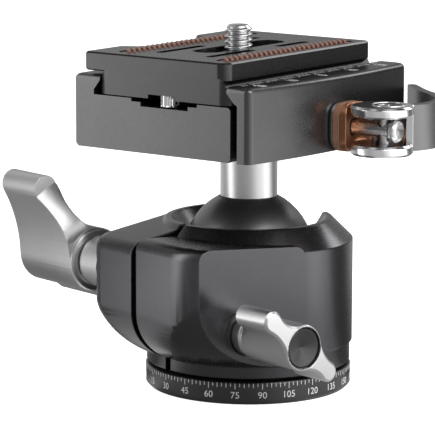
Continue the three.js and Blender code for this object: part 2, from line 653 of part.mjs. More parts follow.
function movingJaw() {
  const j = jaw;
  const outside = j.bowCrown + overrun;
  const section = outline([[j.inner, clamp.foot], [outside, clamp.foot], [outside, j.top],
    [j.nose, j.top, breakEdge], [j.nose, j.noseFoot], [j.flankX, j.flankZ, breakEdge],
    [j.inner, j.root, breakEdge]]);
  const hull = solid(rolledPrism(jawPlan(), clamp.foot, j.top, j.edge, rolls.round, arcSteps.plain));
  // the underside stays square, so the hull is let down past it
  const square = prism(jawPlan(), clamp.foot, clamp.foot + j.edge + j.edge, arcSteps.plain);
  const pinHoles = each(guide.at, (y) => lying(rod(guide.radius + play, j.inner - overrun,
    guide.blind, sides.fine), 0, y, guide.z));
  const boltHole = lying(rod(bolt.radius + play, j.inner - overrun, outside + overrun, sides.fine),
    0, cam.y, cam.z);
  return bar(section, clamp.near - overrun, clamp.far + overrun).intersect(hull.add(square))
    .subtract(pinHoles).subtract(boltHole);
}

function guidePin() {
  const { radius, from, to } = guide;
  return turned([[0, from], [radius - breakEdge, from], [radius, from + breakEdge],
    [radius, to - breakEdge], [radius - breakEdge, to], [0, to]], sides.fine);
}

// A pad standing in the Y-Z plane between two X faces, with rounded corners.
function padBlock(from, thick, foot) {
  const to = from + thick;
  const { halfWidth, corner, top } = pads;
  const mid = (foot + top) / 2;
  const half = (top - foot) / 2;
  // lying() sends the outline's X to -Z, so the outline is drawn as (-Z, Y)
  const face = outline([[-half, -halfWidth, corner], [half, -halfWidth, corner],
    [half, halfWidth, corner], [-half, halfWidth, corner]]);
  const hole = rod(bolt.radius + play, from - overrun, to + overrun, sides.fine).translate([mid - cam.z, 0, 0]);
  return lying(prism(face, from, to, arcSteps.fine).subtract(hole), 0, cam.y, mid);
}

function outerPad() {
  const { seatRadius, seatFloor, foot, top } = pads;
  const seatCutter = rod(seatRadius, foot - overrun, top + overrun, sides.large);
  return padBlock(padOuter, padStack.outer, foot)
    .subtract(seatCutter.translate([seatFloor + seatRadius, cam.y, 0]));
}

function drawBolt() {
  const { radius, from, headFrom, head, end, round, hex, hexDepth } = bolt;
  const shank = turned([[0, from], [radius - breakEdge, from], [radius, from + breakEdge],
    [radius, headFrom], [head, headFrom + head - radius], [head, end, round], [0, end]],
  sides.small).subtract(hexagon(hex, end - hexDepth, end + overrun));
  const cross = rod(cam.pin + play, cam.foot, cam.top, sides.fine).translate([cam.centre + cam.offset, cam.y, 0]);
  return lying(shank, 0, cam.y, cam.z).subtract(cross);
}

function camPin() {
  const { pin, foot, top } = cam;
  return turned([[0, foot], [pin - breakEdge, foot], [pin, foot + breakEdge], [pin, top - breakEdge],
    [pin - breakEdge, top], [0, top]], sides.fine);
}

// Plan of the lever's strip: a spline with the same thickness all along and a round end.
function leverPlan() {
  const spline = new THREE.SplineCurve(lever.path.map(([x, y]) => new THREE.Vector2(cam.centre + x, y)));
  const { leverSteps } = counts;
  const steps = Array.from({ length: leverSteps + 1 }, (_, i) => i / leverSteps);
  const side = (sign) => steps.map((t) => {
    const along = spline.getTangentAt(t);
    return spline.getPointAt(t).add(new THREE.Vector2(-along.y, along.x).multiplyScalar(sign * lever.half));
  });
  const shape = new THREE.Shape(side(-1));
  const tip = spline.getPointAt(1);
  const heading = spline.getTangentAt(1).angle();
  shape.absarc(tip.x, tip.y, lever.half, heading - quarter, heading + quarter, false);
  side(1).reverse().forEach((point) => shape.lineTo(point.x, point.y));
  return shape;
}

function camLever() {
  const { centre, y, radius, offset, foot, top, disc, edge, pin, webInner, webFrom, webTo } = cam;
  const slotFoot = foot + disc;
  const slotTop = top - disc;
  const wheel = (low, high) => turned([[0, low], [radius - edge, low], [radius, low + edge],
    [radius, high - edge], [radius - edge, high], [0, high]], sides.middle);
  const arc = new THREE.Shape();
  arc.absarc(0, 0, radius, webFrom, webTo, false);
  arc.absarc(0, 0, webInner, webTo, webFrom, true);
  const web = prism(arc, slotFoot - edge, slotTop + edge, arcSteps.long);
  const barrel = wheel(foot, slotFoot).add(wheel(slotTop, top)).add(web).translate([centre, y, 0]);
  const inside = rod(webInner, slotFoot, slotTop, sides.middle).translate([centre, y, 0]);
  const arm = prism(leverPlan(), lever.foot, lever.top, arcSteps.plain).subtract(inside);
  const hole = rod(pin + play, foot - overrun, top + overrun, sides.fine).translate([centre + offset, y, 0]);
  return barrel.add(arm).subtract(hole);
}

function slabPlan() {
  const p = plate;
  return outline([[p.left, p.near, p.nearLeft], [p.right, p.near, p.nearRight], [p.right, p.far, p.farCorner],
    [p.left, p.far, p.farCorner], [p.left, p.cutFar + p.cutRun, p.nearLeft], [p.cutDepth, p.cutFar, p.cutCorner],
    [p.cutDepth, p.cutNear, p.cutCorner], [p.left, p.cutNear - p.cutRun, p.nearLeft]]);
}

function dovetailBlock() {
  const p = plate;
  const within = p.foot + p.edge + nick;
  const { half, neck, throat } = dovetail;
  const flank = [[half, p.blockFoot, p.blockEdge], [half, p.flare, breakEdge], [neck, p.neckFoot],
    [neck, p.neckTop], [throat, p.foot], [throat, within]];
  const mirrored = flank.map(([x, z, edge]) => [-x, z, edge]).reverse();
  const block = bar(outline([...flank, ...mirrored]), p.near, p.far);
  const plan = outline([[-half, p.near, p.blockCorner], [half, p.near, p.blockCorner],
    [half, p.far, p.blockCorner], [-half, p.far, p.blockCorner]]);
  return block.intersect(prism(plan, p.blockFoot, p.top, arcSteps.fine));
}

function quickReleasePlate() {
  const p = plate;
  const slab = solid(rolledPrism(slabPlan(), p.foot, p.top, p.edge, rolls.chamfer, arcSteps.fine));
  const under = p.blockFoot - overrun;
  const over = p.top + overrun;
  const { slotHalf, slotNear, slotFar, head, headTop } = cameraScrew;
  const through = slot(slotHalf, slotNear, slotFar, 0, under, over);
  const recess = slot(head + play, slotNear - head, slotFar + head, 0, under, headTop + play);
  const slits = each([-1, 1], (side) => each(sideSlots.spans, ([near, far]) => slot(sideSlots.half, near, far,
    side * sideSlots.x, under, over)));
  const grooves = each([-1, 1], (side) => stripPrism(play, p.top - strips.depth, over)
    .translate([side * strips.x, 0, 0]));
  const notch = (near, far) => box(p.notchLeft, p.notchRight, near, far, under, p.notchTop);
  const notches = notch(p.near - overrun, p.near + p.notchLength).add(notch(p.far - p.notchLength, p.far + overrun));
  const studs = each([stopScrew.near, stopScrew.far], (y) => rod(stopScrew.stud + play, under,
    stopScrew.studTop + play, sides.fine).translate([stopScrew.x, y, 0]));
  return slab.add(dovetailBlock()).subtract(through).subtract(recess).subtract(slits)
    .subtract(grooves).subtract(notches).subtract(studs);
}

function stripPrism(room, foot, top) {
  const { half, near, far } = strips;
  return slot(half + room, near - room, far + room, 0, foot, top);
}

// One strip of rubber with slanting ribs.
function rubberStrip(lean) {
  const { half, near, far, depth, proud, ribWidth, ribTop, ribTurn } = strips;
  const { ribs } = counts;
  const foot = plate.top - depth;
  const skin = plate.top + proud;
  const crest = plate.top + ribTop;
  const pitch = (far - near) / ribs;
  const reach = half + half;
  const places = Array.from({ length: ribs }, (_, i) => near + pitch * (i + 1 / 2));
  const rows = each(places, (y) => box(-reach, reach, -ribWidth / 2, ribWidth / 2, skin - nick, crest)
    .rotate([0, 0, lean * THREE.MathUtils.radToDeg(ribTurn)]).translate([0, y, 0]));
  return stripPrism(0, foot, skin).add(rows.intersect(stripPrism(0, foot, crest + overrun)));
}

function cameraScrewPiece() {
  const { radius, top, head, headFoot, headTop, point, coin, coinDepth } = cameraScrew;
  const turning = turned([[0, headFoot], [head - nick, headFoot], [head, headFoot + nick],
    [head, headTop], [radius, headTop], [radius, top - point], [radius - point, top], [0, top]], sides.small);
  const slit = box(-head - overrun, head + overrun, -coin / 2, coin / 2, headFoot - overrun, headFoot + coinDepth);
  return turning.subtract(slit);
}

function stopScrewPiece() {
  const { cap, toothShare, foot, capTop, stud, studTop } = stopScrew;
  const flanks = counts.knurls + counts.knurls;
  const knurl = Array.from({ length: flanks }, (_, i) => {
    const reach = i % 2 ? cap * toothShare : cap;
    const angle = (i * fullTurn) / flanks;
    return new THREE.Vector2(reach * Math.cos(angle), reach * Math.sin(angle));
  });
  return prism(new THREE.Shape(knurl), foot, capTop).add(rod(stud, capTop - nick, studTop, sides.fine));
}

function basePieces() {
  const group = new THREE.Group();
  group.name = 'base_assembly';
  group.add(node('panning_base', panningBase(), finish.blackSatin));
  group.add(node('pan_spindle', panSpindle(), finish.steel));
  screwPlaces().forEach(([x, y], i) => {
    const screw = node(`base_screw_${i + 1}`, baseScrewPiece(), finish.steel);
    screw.position.set(x, y, 0);
    group.add(screw);
  });
  return group;
}

function knobGroup(name, lock, outward, reach) {
  const group = new THREE.Group();
  group.name = `${name}_knob_assembly`;
  group.position.set(lock.wall, lock.y, lock.z);
  group.rotation.y = outward * quarter;
  const knob = node(`${name}_knob`, wingKnob(lock), finish.silver);
  const cap = node(`${name}_knob_cap`, knobCap(lock), finish.blackSatin);
  const start = lock.collarLength + play;
  knob.position.z = start;
  cap.position.z = start;
  group.add(knob, cap);
  group.add(node(`${name}_knob_collar`, knobCollar(lock), finish.silver));
  group.add(node(`${name}_lock_screw`, lockScrew(lock, reach), finish.steel));
  return group;
}

function housingPieces() {
  const group = new THREE.Group();
  group.name = 'housing_assembly';
  group.rotation.z = lobeTurn;
  group.add(node('housing', housingPiece(), finish.blackSatin));
  group.add(node('pan_retaining_ring', panRetainingRing(), finish.darkSteel));
  const washerFoot = panRing.foot + panRing.height;
  group.add(node('pan_bearing_washer', flatWasher(panWasher.inner, panWasher.outer, washerFoot,
    spindle.flangeFoot), finish.polymer));
  group.add(node('seat_spring', seatSpring(), finish.darkSteel));
  group.add(node('ball_seat', ballSeat(), finish.polymer));
  group.add(knobGroup('main', mainLock, -1, mainLock.screwEnd - mainLock.wall));
  group.add(knobGroup('pan', panLock, 1, panLock.screwEnd));
  return group;
}

function clampPieces() {
  const group = new THREE.Group();
  group.name = 'clamp_assembly';
  group.add(node('clamp_body', clampBody(), finish.blackEnd));
  group.add(node('clamp_screw', clampScrewPiece(), finish.darkSteel));
  group.add(node('moving_jaw', movingJaw(), finish.blackEnd));
  guide.at.forEach((y, i) => {
    const pin = node(`jaw_guide_pin_${i + 1}`, guidePin(), finish.steel);
    pin.rotation.y = quarter;
    pin.position.set(0, y, guide.z);
    group.add(pin);
  });
  const { shim, inner } = padStack;
  group.add(node('jaw_shim_dark', padBlock(shimDark, shim, pads.shimFoot), finish.darkSteel));
  group.add(node('jaw_shim_steel', padBlock(shimSteel, shim, pads.shimFoot), finish.steel));
  group.add(node('cam_pad_inner', padBlock(padInner, inner, pads.foot), finish.brownPad));
  group.add(node('cam_pad_outer', outerPad(), finish.copper));
  group.add(node('draw_bolt', drawBolt(), finish.steel));
  const pin = node('cam_pin', camPin(), finish.steel);
  pin.position.set(cam.centre + cam.offset, cam.y, 0);
  group.add(pin);
  group.add(node('cam_lever', camLever(), finish.chrome));
  return group;
}

function platePieces() {
  const group = new THREE.Group();
  group.name = 'plate_assembly';
  group.add(node('quick_release_plate', quickReleasePlate(), finish.blackSatin));
  [['left', -1], ['right', 1]].forEach(([name, side]) => {
    const strip = node(`rubber_strip_${name}`, rubberStrip(1), finish.rubber);
    strip.position.x = side * strips.x;
    group.add(strip);
  });
  const screw = node('camera_screw', cameraScrewPiece(), finish.steel);
  screw.position.y = cameraScrew.y;
  group.add(screw);
  [['front', stopScrew.near], ['rear', stopScrew.far]].forEach(([name, y]) => {
    const stop = node(`stop_screw_${name}`, stopScrewPiece(), finish.chrome);
    stop.position.set(stopScrew.x, y, 0);
    group.add(stop);
  });
  return group;
}

const ballHead = new THREE.Group();
ballHead.name = 'tripod_ball_head';
ballHead.add(basePieces(), housingPieces());
ballHead.add(node('ball', ballPiece(), finish.ballDark));
ballHead.add(node('stem', stemPiece(), finish.silver));
ballHead.add(clampPieces(), platePieces());

export default ballHead;
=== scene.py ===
"""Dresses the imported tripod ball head: finishes, scales, thread, ribs, knurls, studio and camera."""

import logging
import math
from dataclasses import dataclass, field
from enum import Enum

import bmesh
import bpy
from mathutils import Matrix, Vector

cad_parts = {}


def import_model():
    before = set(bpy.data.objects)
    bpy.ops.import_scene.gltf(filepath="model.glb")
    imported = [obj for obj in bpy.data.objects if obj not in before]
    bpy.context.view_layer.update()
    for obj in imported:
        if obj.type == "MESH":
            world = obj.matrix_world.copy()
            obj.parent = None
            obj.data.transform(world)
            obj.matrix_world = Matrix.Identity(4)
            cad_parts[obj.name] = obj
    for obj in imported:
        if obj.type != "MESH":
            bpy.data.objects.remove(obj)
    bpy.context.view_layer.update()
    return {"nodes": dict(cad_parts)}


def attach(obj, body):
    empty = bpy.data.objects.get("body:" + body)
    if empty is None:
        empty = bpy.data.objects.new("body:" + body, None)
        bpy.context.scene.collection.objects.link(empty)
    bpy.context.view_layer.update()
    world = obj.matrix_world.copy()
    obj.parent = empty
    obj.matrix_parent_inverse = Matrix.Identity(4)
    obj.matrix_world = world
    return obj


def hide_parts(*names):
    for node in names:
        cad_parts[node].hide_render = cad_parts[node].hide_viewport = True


MM = 0.001
LOG = logging.getLogger("ball_head")
WELD = 0.002 * MM

# Numbers shared by every finish: how marks, clouds and depth of bump are spread.
CLOUD_SCALE = 70.0
WEAR_GAIN = 1.6
MARK_LOW, MARK_HIGH = 0.25, 0.75
BUMP_DEPTH = 0.04 * MM
EDGE_SAMPLES = 6
RING_SHARE = 0.65
RING_SPREAD = 1.7


class Body(Enum):
    """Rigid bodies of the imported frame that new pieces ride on."""

    BASE = "base"
    JAW = "jaw"
    LEVER = "lever"
    PLATE = "plate"
    CAMERA_SCREW = "camera_screw_body"


class Lay(Enum):
    """How the tool marks of a machined surface run."""

    BLASTED = "blasted"
    TURNED = "turned"


# ---- shader groups ---------------------------------------------------------


def new_group(name: str, inputs: dict[str, tuple[str, float]], outputs: tuple[str, ...]) -> bpy.types.NodeTree:
    """Starts a shader node group with its sockets.

    Args:
        name: the group's name.
        inputs: socket name to (socket type, default value).
        outputs: names of the float sockets the group puts out.

    Returns:
        The empty group, with its input and output nodes.
    """
    tree = bpy.data.node_groups.new(name, "ShaderNodeTree")
    for label, (kind, value) in inputs.items():
        socket = tree.interface.new_socket(name=label, in_out="INPUT", socket_type=kind)
        if kind == "NodeSocketFloat":
            socket.default_value = value
    for label in outputs:
        tree.interface.new_socket(name=label, in_out="OUTPUT", socket_type="NodeSocketFloat")
    tree.nodes.new("NodeGroupInput").name = "In"
    tree.nodes.new("NodeGroupOutput").name = "Out"
    return tree


def math_node(tree: bpy.types.NodeTree, operation: str, first: object, second: object) -> bpy.types.NodeSocket:
    """Adds a math node.

    Args:
        tree: the tree it goes in.
        operation: the node's operation.
        first: a socket or a number.
        second: a socket or a number.

    Returns:
        The node's output socket.
    """
    node = tree.nodes.new("ShaderNodeMath")
    node.operation = operation
    for place, value in enumerate((first, second)):
        if isinstance(value, bpy.types.NodeSocket):
            tree.links.new(value, node.inputs[place])
        else:
            node.inputs[place].default_value = value
    return node.outputs[0]


def grain_group() -> bpy.types.NodeTree:
    """Fine blasted grain over slow clouds of handling, from a position vector.

    Returns:
        The group, with outputs Grain and Cloud.
    """
    tree = new_group(
        "blasted grain",
        {"Position": ("NodeSocketVector", 0.0), "Grain Scale": ("NodeSocketFloat", 4000.0),
         "Cloud Scale": ("NodeSocketFloat", 60.0)},
        ("Grain", "Cloud"),
    )
    source, sink = tree.nodes["In"], tree.nodes["Out"]
    for label, size, detail in (("Grain", "Grain Scale", 3.0), ("Cloud", "Cloud Scale", 4.0)):
        noise = tree.nodes.new("ShaderNodeTexNoise")
        noise.inputs["Detail"].default_value = detail
        noise.inputs["Roughness"].default_value = 0.6
        tree.links.new(source.outputs["Position"], noise.inputs["Vector"])
        tree.links.new(source.outputs[size], noise.inputs["Scale"])
        tree.links.new(noise.outputs["Fac"], sink.inputs[label])
    return tree


def turned_group() -> bpy.types.NodeTree:
    """Rings left by a lathe tool: noise along the axis and the radius, even round it.

    Returns:
        The group, with output Ring.
    """
    tree = new_group(
        "turned rings",
        {"Position": ("NodeSocketVector", 0.0), "Scale": ("NodeSocketFloat", 1800.0)},
        ("Ring",),
    )
    source, sink = tree.nodes["In"], tree.nodes["Out"]
    split = tree.nodes.new("ShaderNodeSeparateXYZ")
    tree.links.new(source.outputs["Position"], split.inputs[0])
    across = math_node(tree, "MULTIPLY", split.outputs[0], split.outputs[0])
    along = math_node(tree, "MULTIPLY", split.outputs[1], split.outputs[1])
    radius = math_node(tree, "POWER", math_node(tree, "ADD", across, along), 0.5)
    place = math_node(tree, "ADD", math_node(tree, "MULTIPLY", radius, RING_SPREAD), split.outputs[2])
    join = tree.nodes.new("ShaderNodeCombineXYZ")
    tree.links.new(place, join.inputs[0])
    noise = tree.nodes.new("ShaderNodeTexNoise")
    noise.inputs["Detail"].default_value = 3.0
    tree.links.new(join.outputs[0], noise.inputs["Vector"])
    tree.links.new(source.outputs["Scale"], noise.inputs["Scale"])
    tree.links.new(noise.outputs["Fac"], sink.inputs["Ring"])
    return tree


@dataclass
class Workshop:
    """Shader groups built once and shared by every finish."""

    grain: bpy.types.NodeTree = field(default_factory=grain_group)
    turned: bpy.types.NodeTree = field(default_factory=turned_group)


@dataclass(frozen=True)
class Finish:
    """One machined, moulded or painted finish.

    Tones are linear RGB. Rough is the lowest and highest roughness, bite how deep the marks cut, and edge the
    radius that sharp edges are broken with.
    """

    name: str
    tone: tuple[float, float, float]
    worn: tuple[float, float, float]
    metallic: float
    rough: tuple[float, float]
    lay: Lay = Lay.BLASTED
    grain: float = 4200.0
    bite: float = 0.12
    centre: tuple[float, float, float] = (0.0, 0.0, 0.0)
    turn: tuple[float, float, float] = (0.0, 0.0, 0.0)
    anisotropic: float = 0.0
    edge: float = 0.0

    def material(self, shop: Workshop) -> bpy.types.Material:
        """Builds the finish as a node material.

        Args:
            shop: the shared shader groups.

        Returns:
            The new material.
        """
        made = bpy.data.materials.new(self.name)
        made.use_nodes = True
        tree = made.node_tree
        shader = tree.nodes["Principled BSDF"]
        shader.inputs["Metallic"].default_value = self.metallic
        shader.inputs["Anisotropic"].default_value = self.anisotropic
        place = self._position(tree)
        grain = tree.nodes.new("ShaderNodeGroup")
        grain.node_tree = shop.grain
        grain.inputs["Grain Scale"].default_value = self.grain
        grain.inputs["Cloud Scale"].default_value = CLOUD_SCALE
        tree.links.new(place, grain.inputs["Position"])
        marks = self._marks(tree, shop, place, grain.outputs["Grain"])
        tint = tree.nodes.new("ShaderNodeMix")
        tint.data_type = "RGBA"
        tint.inputs["A"].default_value = (*self.tone, 1.0)
        tint.inputs["B"].default_value = (*self.worn, 1.0)
        blend = math_node(tree, "MULTIPLY", grain.outputs["Cloud"], marks)
        tree.links.new(math_node(tree, "MULTIPLY", blend, WEAR_GAIN), tint.inputs["Factor"])
        tree.links.new(tint.outputs["Result"], shader.inputs["Base Color"])
        spread = tree.nodes.new("ShaderNodeMapRange")
        spread.inputs["From Min"].default_value = MARK_LOW
        spread.inputs["From Max"].default_value = MARK_HIGH
        spread.inputs["To Min"].default_value = self.rough[0]
        spread.inputs["To Max"].default_value = self.rough[1]
        tree.links.new(marks, spread.inputs["Value"])
        tree.links.new(spread.outputs["Result"], shader.inputs["Roughness"])
        bump = tree.nodes.new("ShaderNodeBump")
        bump.inputs["Strength"].default_value = self.bite
        bump.inputs["Distance"].default_value = BUMP_DEPTH
        tree.links.new(marks, bump.inputs["Height"])
        if self.edge > 0:
            broken = tree.nodes.new("ShaderNodeBevel")
            broken.samples = EDGE_SAMPLES
            broken.inputs["Radius"].default_value = self.edge
            tree.links.new(broken.outputs["Normal"], bump.inputs["Normal"])
        tree.links.new(bump.outputs["Normal"], shader.inputs["Normal"])
        return made

    def _position(self, tree: bpy.types.NodeTree) -> bpy.types.NodeSocket:
        """Adds the object position, centred and turned for the marks, and returns its socket."""
        where = tree.nodes.new("ShaderNodeTexCoord")
        mapping = tree.nodes.new("ShaderNodeMapping")
        mapping.vector_type = "TEXTURE"
        mapping.inputs["Location"].default_value = self.centre
        mapping.inputs["Rotation"].default_value = self.turn
        tree.links.new(where.outputs["Object"], mapping.inputs["Vector"])
        return mapping.outputs["Vector"]

    def _marks(
        self, tree: bpy.types.NodeTree, shop: Workshop, place: bpy.types.NodeSocket, grain: bpy.types.NodeSocket
    ) -> bpy.types.NodeSocket:
        """Adds the tool marks.

        Args:
            tree: the material's tree.
            shop: the shared shader groups.
            place: the mapped position.
            grain: the blasted grain.

        Returns:
            A value near one half that varies with the marks.
        """
        if self.lay is Lay.BLASTED:
            return grain
        rings = tree.nodes.new("ShaderNodeGroup")
        rings.node_tree = shop.turned
        tree.links.new(place, rings.inputs["Position"])
        fine = math_node(tree, "MULTIPLY", grain, 1.0 - RING_SHARE)
        return math_node(tree, "ADD", math_node(tree, "MULTIPLY", rings.outputs["Ring"], RING_SHARE), fine)


def cam_group() -> bpy.types.NodeTree:
    """Tells the polished discs of the cam from its satin arm.

    Returns:
        The group, with output Disc: one on the discs, nought on the arm.
    """
    tree = new_group(
        "cam zones", {"Position": ("NodeSocketVector", 0.0), "Radius": ("NodeSocketFloat", 0.01)}, ("Disc",)
    )
    source, sink = tree.nodes["In"], tree.nodes["Out"]
    flat = tree.nodes.new("ShaderNodeVectorMath")
    flat.operation = "MULTIPLY"
    flat.inputs[1].default_value = (1.0, 1.0, 0.0)
    length = tree.nodes.new("ShaderNodeVectorMath")
    length.operation = "LENGTH"
    tree.links.new(source.outputs["Position"], flat.inputs[0])
    tree.links.new(flat.outputs["Vector"], length.inputs[0])
    inside = math_node(tree, "LESS_THAN", length.outputs["Value"], source.outputs["Radius"])
    tree.links.new(inside, sink.inputs["Disc"])
    return tree


@dataclass(frozen=True)
class CamFinish(Finish):
    """Satin arm and polished discs of the cam lever, told apart by the distance from the finish's centre."""

    disc_radius: float = 7.3 * MM
    polish: tuple[float, float, float] = (0.84, 0.84, 0.85)
    polish_rough: float = 0.14

    def material(self, shop: Workshop) -> bpy.types.Material:
        """Builds the satin finish, then polishes the discs.

        Args:
            shop: the shared shader groups.

        Returns:
            The new material.
        """
        made = super().material(shop)
        tree = made.node_tree
        shader = tree.nodes["Principled BSDF"]
        mapping = next(node for node in tree.nodes if node.type == "MAPPING")
        zones = tree.nodes.new("ShaderNodeGroup")
        zones.node_tree = cam_group()
        zones.inputs["Radius"].default_value = self.disc_radius
        tree.links.new(mapping.outputs["Vector"], zones.inputs["Position"])
        tint = tree.nodes.new("ShaderNodeMix")
        tint.data_type = "RGBA"
        tint.inputs["B"].default_value = (*self.polish, 1.0)
        smooth = tree.nodes.new("ShaderNodeMix")
        smooth.inputs["B"].default_value = self.polish_rough
        for blend, label in ((tint, "Base Color"), (smooth, "Roughness")):
            tree.links.new(shader.inputs[label].links[0].from_socket, blend.inputs["A"])
            tree.links.new(zones.outputs["Disc"], blend.inputs["Factor"])
            tree.links.new(blend.outputs["Result"], shader.inputs[label])
        return made


LOBE_TURN = math.radians(-13.5)
BALL_CENTRE = (0.0, 0.0, 30.4 * MM)


def in_lobe(x: float, y: float, z: float) -> tuple[float, float, float]:
    """Turns a point in the housing's own frame, in millimetres, into the shared frame, in metres."""
    point = Matrix.Rotation(LOBE_TURN, 3, "Z") @ Vector((x, y, z))
    return tuple(point * MM)


@dataclass
class Finishes:
    """Every finish of the head, made once."""

    shop: Workshop = field(default_factory=Workshop)
    made: dict[str, bpy.types.Material] = field(default_factory=dict)

    def get(self, finish: Finish) -> bpy.types.Material:
        """Returns the finish's material, building it on first use."""
        if finish.name not in self.made:
            self.made[finish.name] = finish.material(self.shop)
        return self.made[finish.name]


KNOB_TURN = (0.0, math.pi / 2, LOBE_TURN)

HOUSING_BLACK = Finish("housing black anodised", (0.082, 0.082, 0.086), (0.105, 0.105, 0.11), 0.95, (0.21, 0.29),
                       bite=0.07, grain=2800.0, edge=0.35 * MM)
BASE_BLACK = Finish("base black anodised", (0.075, 0.075, 0.077), (0.1, 0.1, 0.103), 0.9, (0.34, 0.44), Lay.TURNED,
                    bite=0.08, edge=0.2 * MM)
CLAMP_BLACK = Finish("clamp black anodised", (0.085, 0.085, 0.087), (0.11, 0.11, 0.112), 0.95, (0.25, 0.35),
                     bite=0.11, grain=2600.0)
PLATE_BLACK = Finish("plate black anodised", (0.05, 0.049, 0.049), (0.07, 0.069, 0.069), 0.95, (0.22, 0.3),
                     bite=0.11, grain=2600.0)
BALL_GREY = Finish("ball dark satin", (0.17, 0.17, 0.175), (0.22, 0.22, 0.225), 0.95, (0.36, 0.44),
                   bite=0.08, centre=BALL_CENTRE)
STEM_SILVER = Finish("stem satin silver", (0.6, 0.6, 0.61), (0.68, 0.68, 0.69), 1.0, (0.3, 0.4), bite=0.3,
                     grain=3000.0)
MAIN_SILVER = Finish("main knob satin silver", (0.52, 0.52, 0.525), (0.62, 0.62, 0.625), 1.0, (0.3, 0.4), bite=0.35,
                     grain=2800.0, edge=0.3 * MM)
PAN_SILVER = Finish("pan knob satin silver", (0.66, 0.66, 0.665), (0.78, 0.78, 0.785), 1.0, (0.3, 0.4), bite=0.35,
                    grain=2800.0, edge=0.25 * MM)
MAIN_CAP = Finish("main cap turned black", (0.06, 0.06, 0.062), (0.09, 0.09, 0.092), 0.9, (0.22, 0.34), Lay.TURNED,
                  bite=0.3, centre=in_lobe(-30, -27, 28.7), turn=KNOB_TURN, anisotropic=0.6)
PAN_CAP = Finish("pan cap turned black", (0.06, 0.06, 0.062), (0.09, 0.09, 0.092), 0.9, (0.22, 0.34), Lay.TURNED,
                 bite=0.3, centre=in_lobe(30, -18.3, 17.4), turn=KNOB_TURN, anisotropic=0.6)
LEVER_CHROME = CamFinish("lever chrome and satin", (0.17, 0.169, 0.17), (0.21, 0.209, 0.21), 1.0, (0.36, 0.46),
                         bite=0.25, centre=(36.8 * MM, -0.8 * MM, 0.0), edge=0.25 * MM)
CHROME = Finish("knurled chrome", (0.86, 0.86, 0.87), (0.76, 0.76, 0.77), 1.0, (0.12, 0.2), bite=0.05)
STEEL = Finish("screw steel", (0.56, 0.56, 0.57), (0.66, 0.66, 0.67), 1.0, (0.24, 0.34), bite=0.08)
# Screw steel painted lighter, a painted highlight, so that the thin steel shim reads as lit.
SHIM_STEEL_PAINTED_LIGHT = Finish("shim steel painted light", (0.75, 0.75, 0.76), (0.85, 0.85, 0.86), 1.0, (0.24, 0.34), bite=0.08)
DARK_STEEL = Finish("dark steel", (0.16, 0.16, 0.165), (0.22, 0.22, 0.225), 1.0, (0.3, 0.42), bite=0.1)
POLYMER = Finish("seat polymer", (0.68, 0.65, 0.58), (0.6, 0.57, 0.5), 0.0, (0.45, 0.6), bite=0.2)
BROWN_PAD = Finish("pad brown fibre", (0.17, 0.075, 0.04), (0.5, 0.28, 0.18), 0.0, (0.5, 0.65), grain=2200.0,
                   bite=0.6, edge=0.3 * MM)
COPPER_PAD = Finish("pad copper", (0.5, 0.22, 0.115), (0.66, 0.33, 0.19), 0.85, (0.26, 0.36), bite=0.25,
                    edge=0.4 * MM)
RUBBER = Finish("strip brown rubber", (0.23, 0.108, 0.078), (0.3, 0.15, 0.115), 0.0, (0.4, 0.55), grain=5200.0,
                bite=0.4)
WHITE_FILL = Finish("engraved white fill", (0.88, 0.88, 0.88), (0.8, 0.8, 0.8), 0.0, (0.45, 0.6), bite=0.3)

NODE_FINISHES: dict[str, Finish] = {
    "panning_base": BASE_BLACK, "pan_spindle": STEEL, "base_screw_1": STEEL, "base_screw_2": STEEL,
    "base_screw_3": STEEL, "housing": HOUSING_BLACK, "pan_retaining_ring": DARK_STEEL,
    "pan_bearing_washer": POLYMER, "seat_spring": DARK_STEEL, "ball_seat": POLYMER, "main_knob": MAIN_SILVER,
    "main_knob_cap": MAIN_CAP, "main_knob_collar": MAIN_SILVER, "main_lock_screw": STEEL, "pan_knob": PAN_SILVER,
    "pan_knob_cap": PAN_CAP, "pan_knob_collar": PAN_SILVER, "pan_lock_screw": STEEL, "ball": BALL_GREY,
    "stem": STEM_SILVER, "clamp_body": CLAMP_BLACK, "clamp_screw": DARK_STEEL, "moving_jaw": CLAMP_BLACK,
    "jaw_guide_pin_1": STEEL, "jaw_guide_pin_2": STEEL, "jaw_shim_dark": DARK_STEEL, "jaw_shim_steel": SHIM_STEEL_PAINTED_LIGHT,
    "cam_pad_inner": BROWN_PAD, "cam_pad_outer": COPPER_PAD, "draw_bolt": STEEL, "cam_pin": STEEL,
    "cam_lever": LEVER_CHROME, "quick_release_plate": PLATE_BLACK, "rubber_strip_left": RUBBER,
    "rubber_strip_right": RUBBER, "camera_screw": STEEL, "stop_screw_front": CHROME, "stop_screw_rear": CHROME,
}


# ---- mesh helpers ----------------------------------------------------------


def add_object(name: str, mesh: bpy.types.Mesh, finish: bpy.types.Material | None = None) -> bpy.types.Object:
    """Links a mesh as an object at the origin.

    Args:
        name: the piece's name.
        mesh: its mesh, already in place.
        finish: its material, if it isn't on the mesh yet.

    Returns:
        The new object.
    """
    piece = bpy.data.objects.new(name, mesh)
    bpy.context.scene.collection.objects.link(piece)
    if finish is not None:
        mesh.materials.clear()
        mesh.materials.append(finish)
    return piece


def plain_mesh(name: str, bm: bmesh.types.BMesh, smooth: bool = False) -> bpy.types.Mesh:
    """Writes a bmesh into a new mesh and frees it.

    Args:
        name: the mesh's name.
        bm: the bmesh, which is freed.
        smooth: whether its faces are shaded smooth.

    Returns:
        The new mesh.
    """
    mesh = bpy.data.meshes.new(name)
    bm.to_mesh(mesh)
    bm.free()
    if smooth:
        for face in mesh.polygons:
            face.use_smooth = True
    return mesh


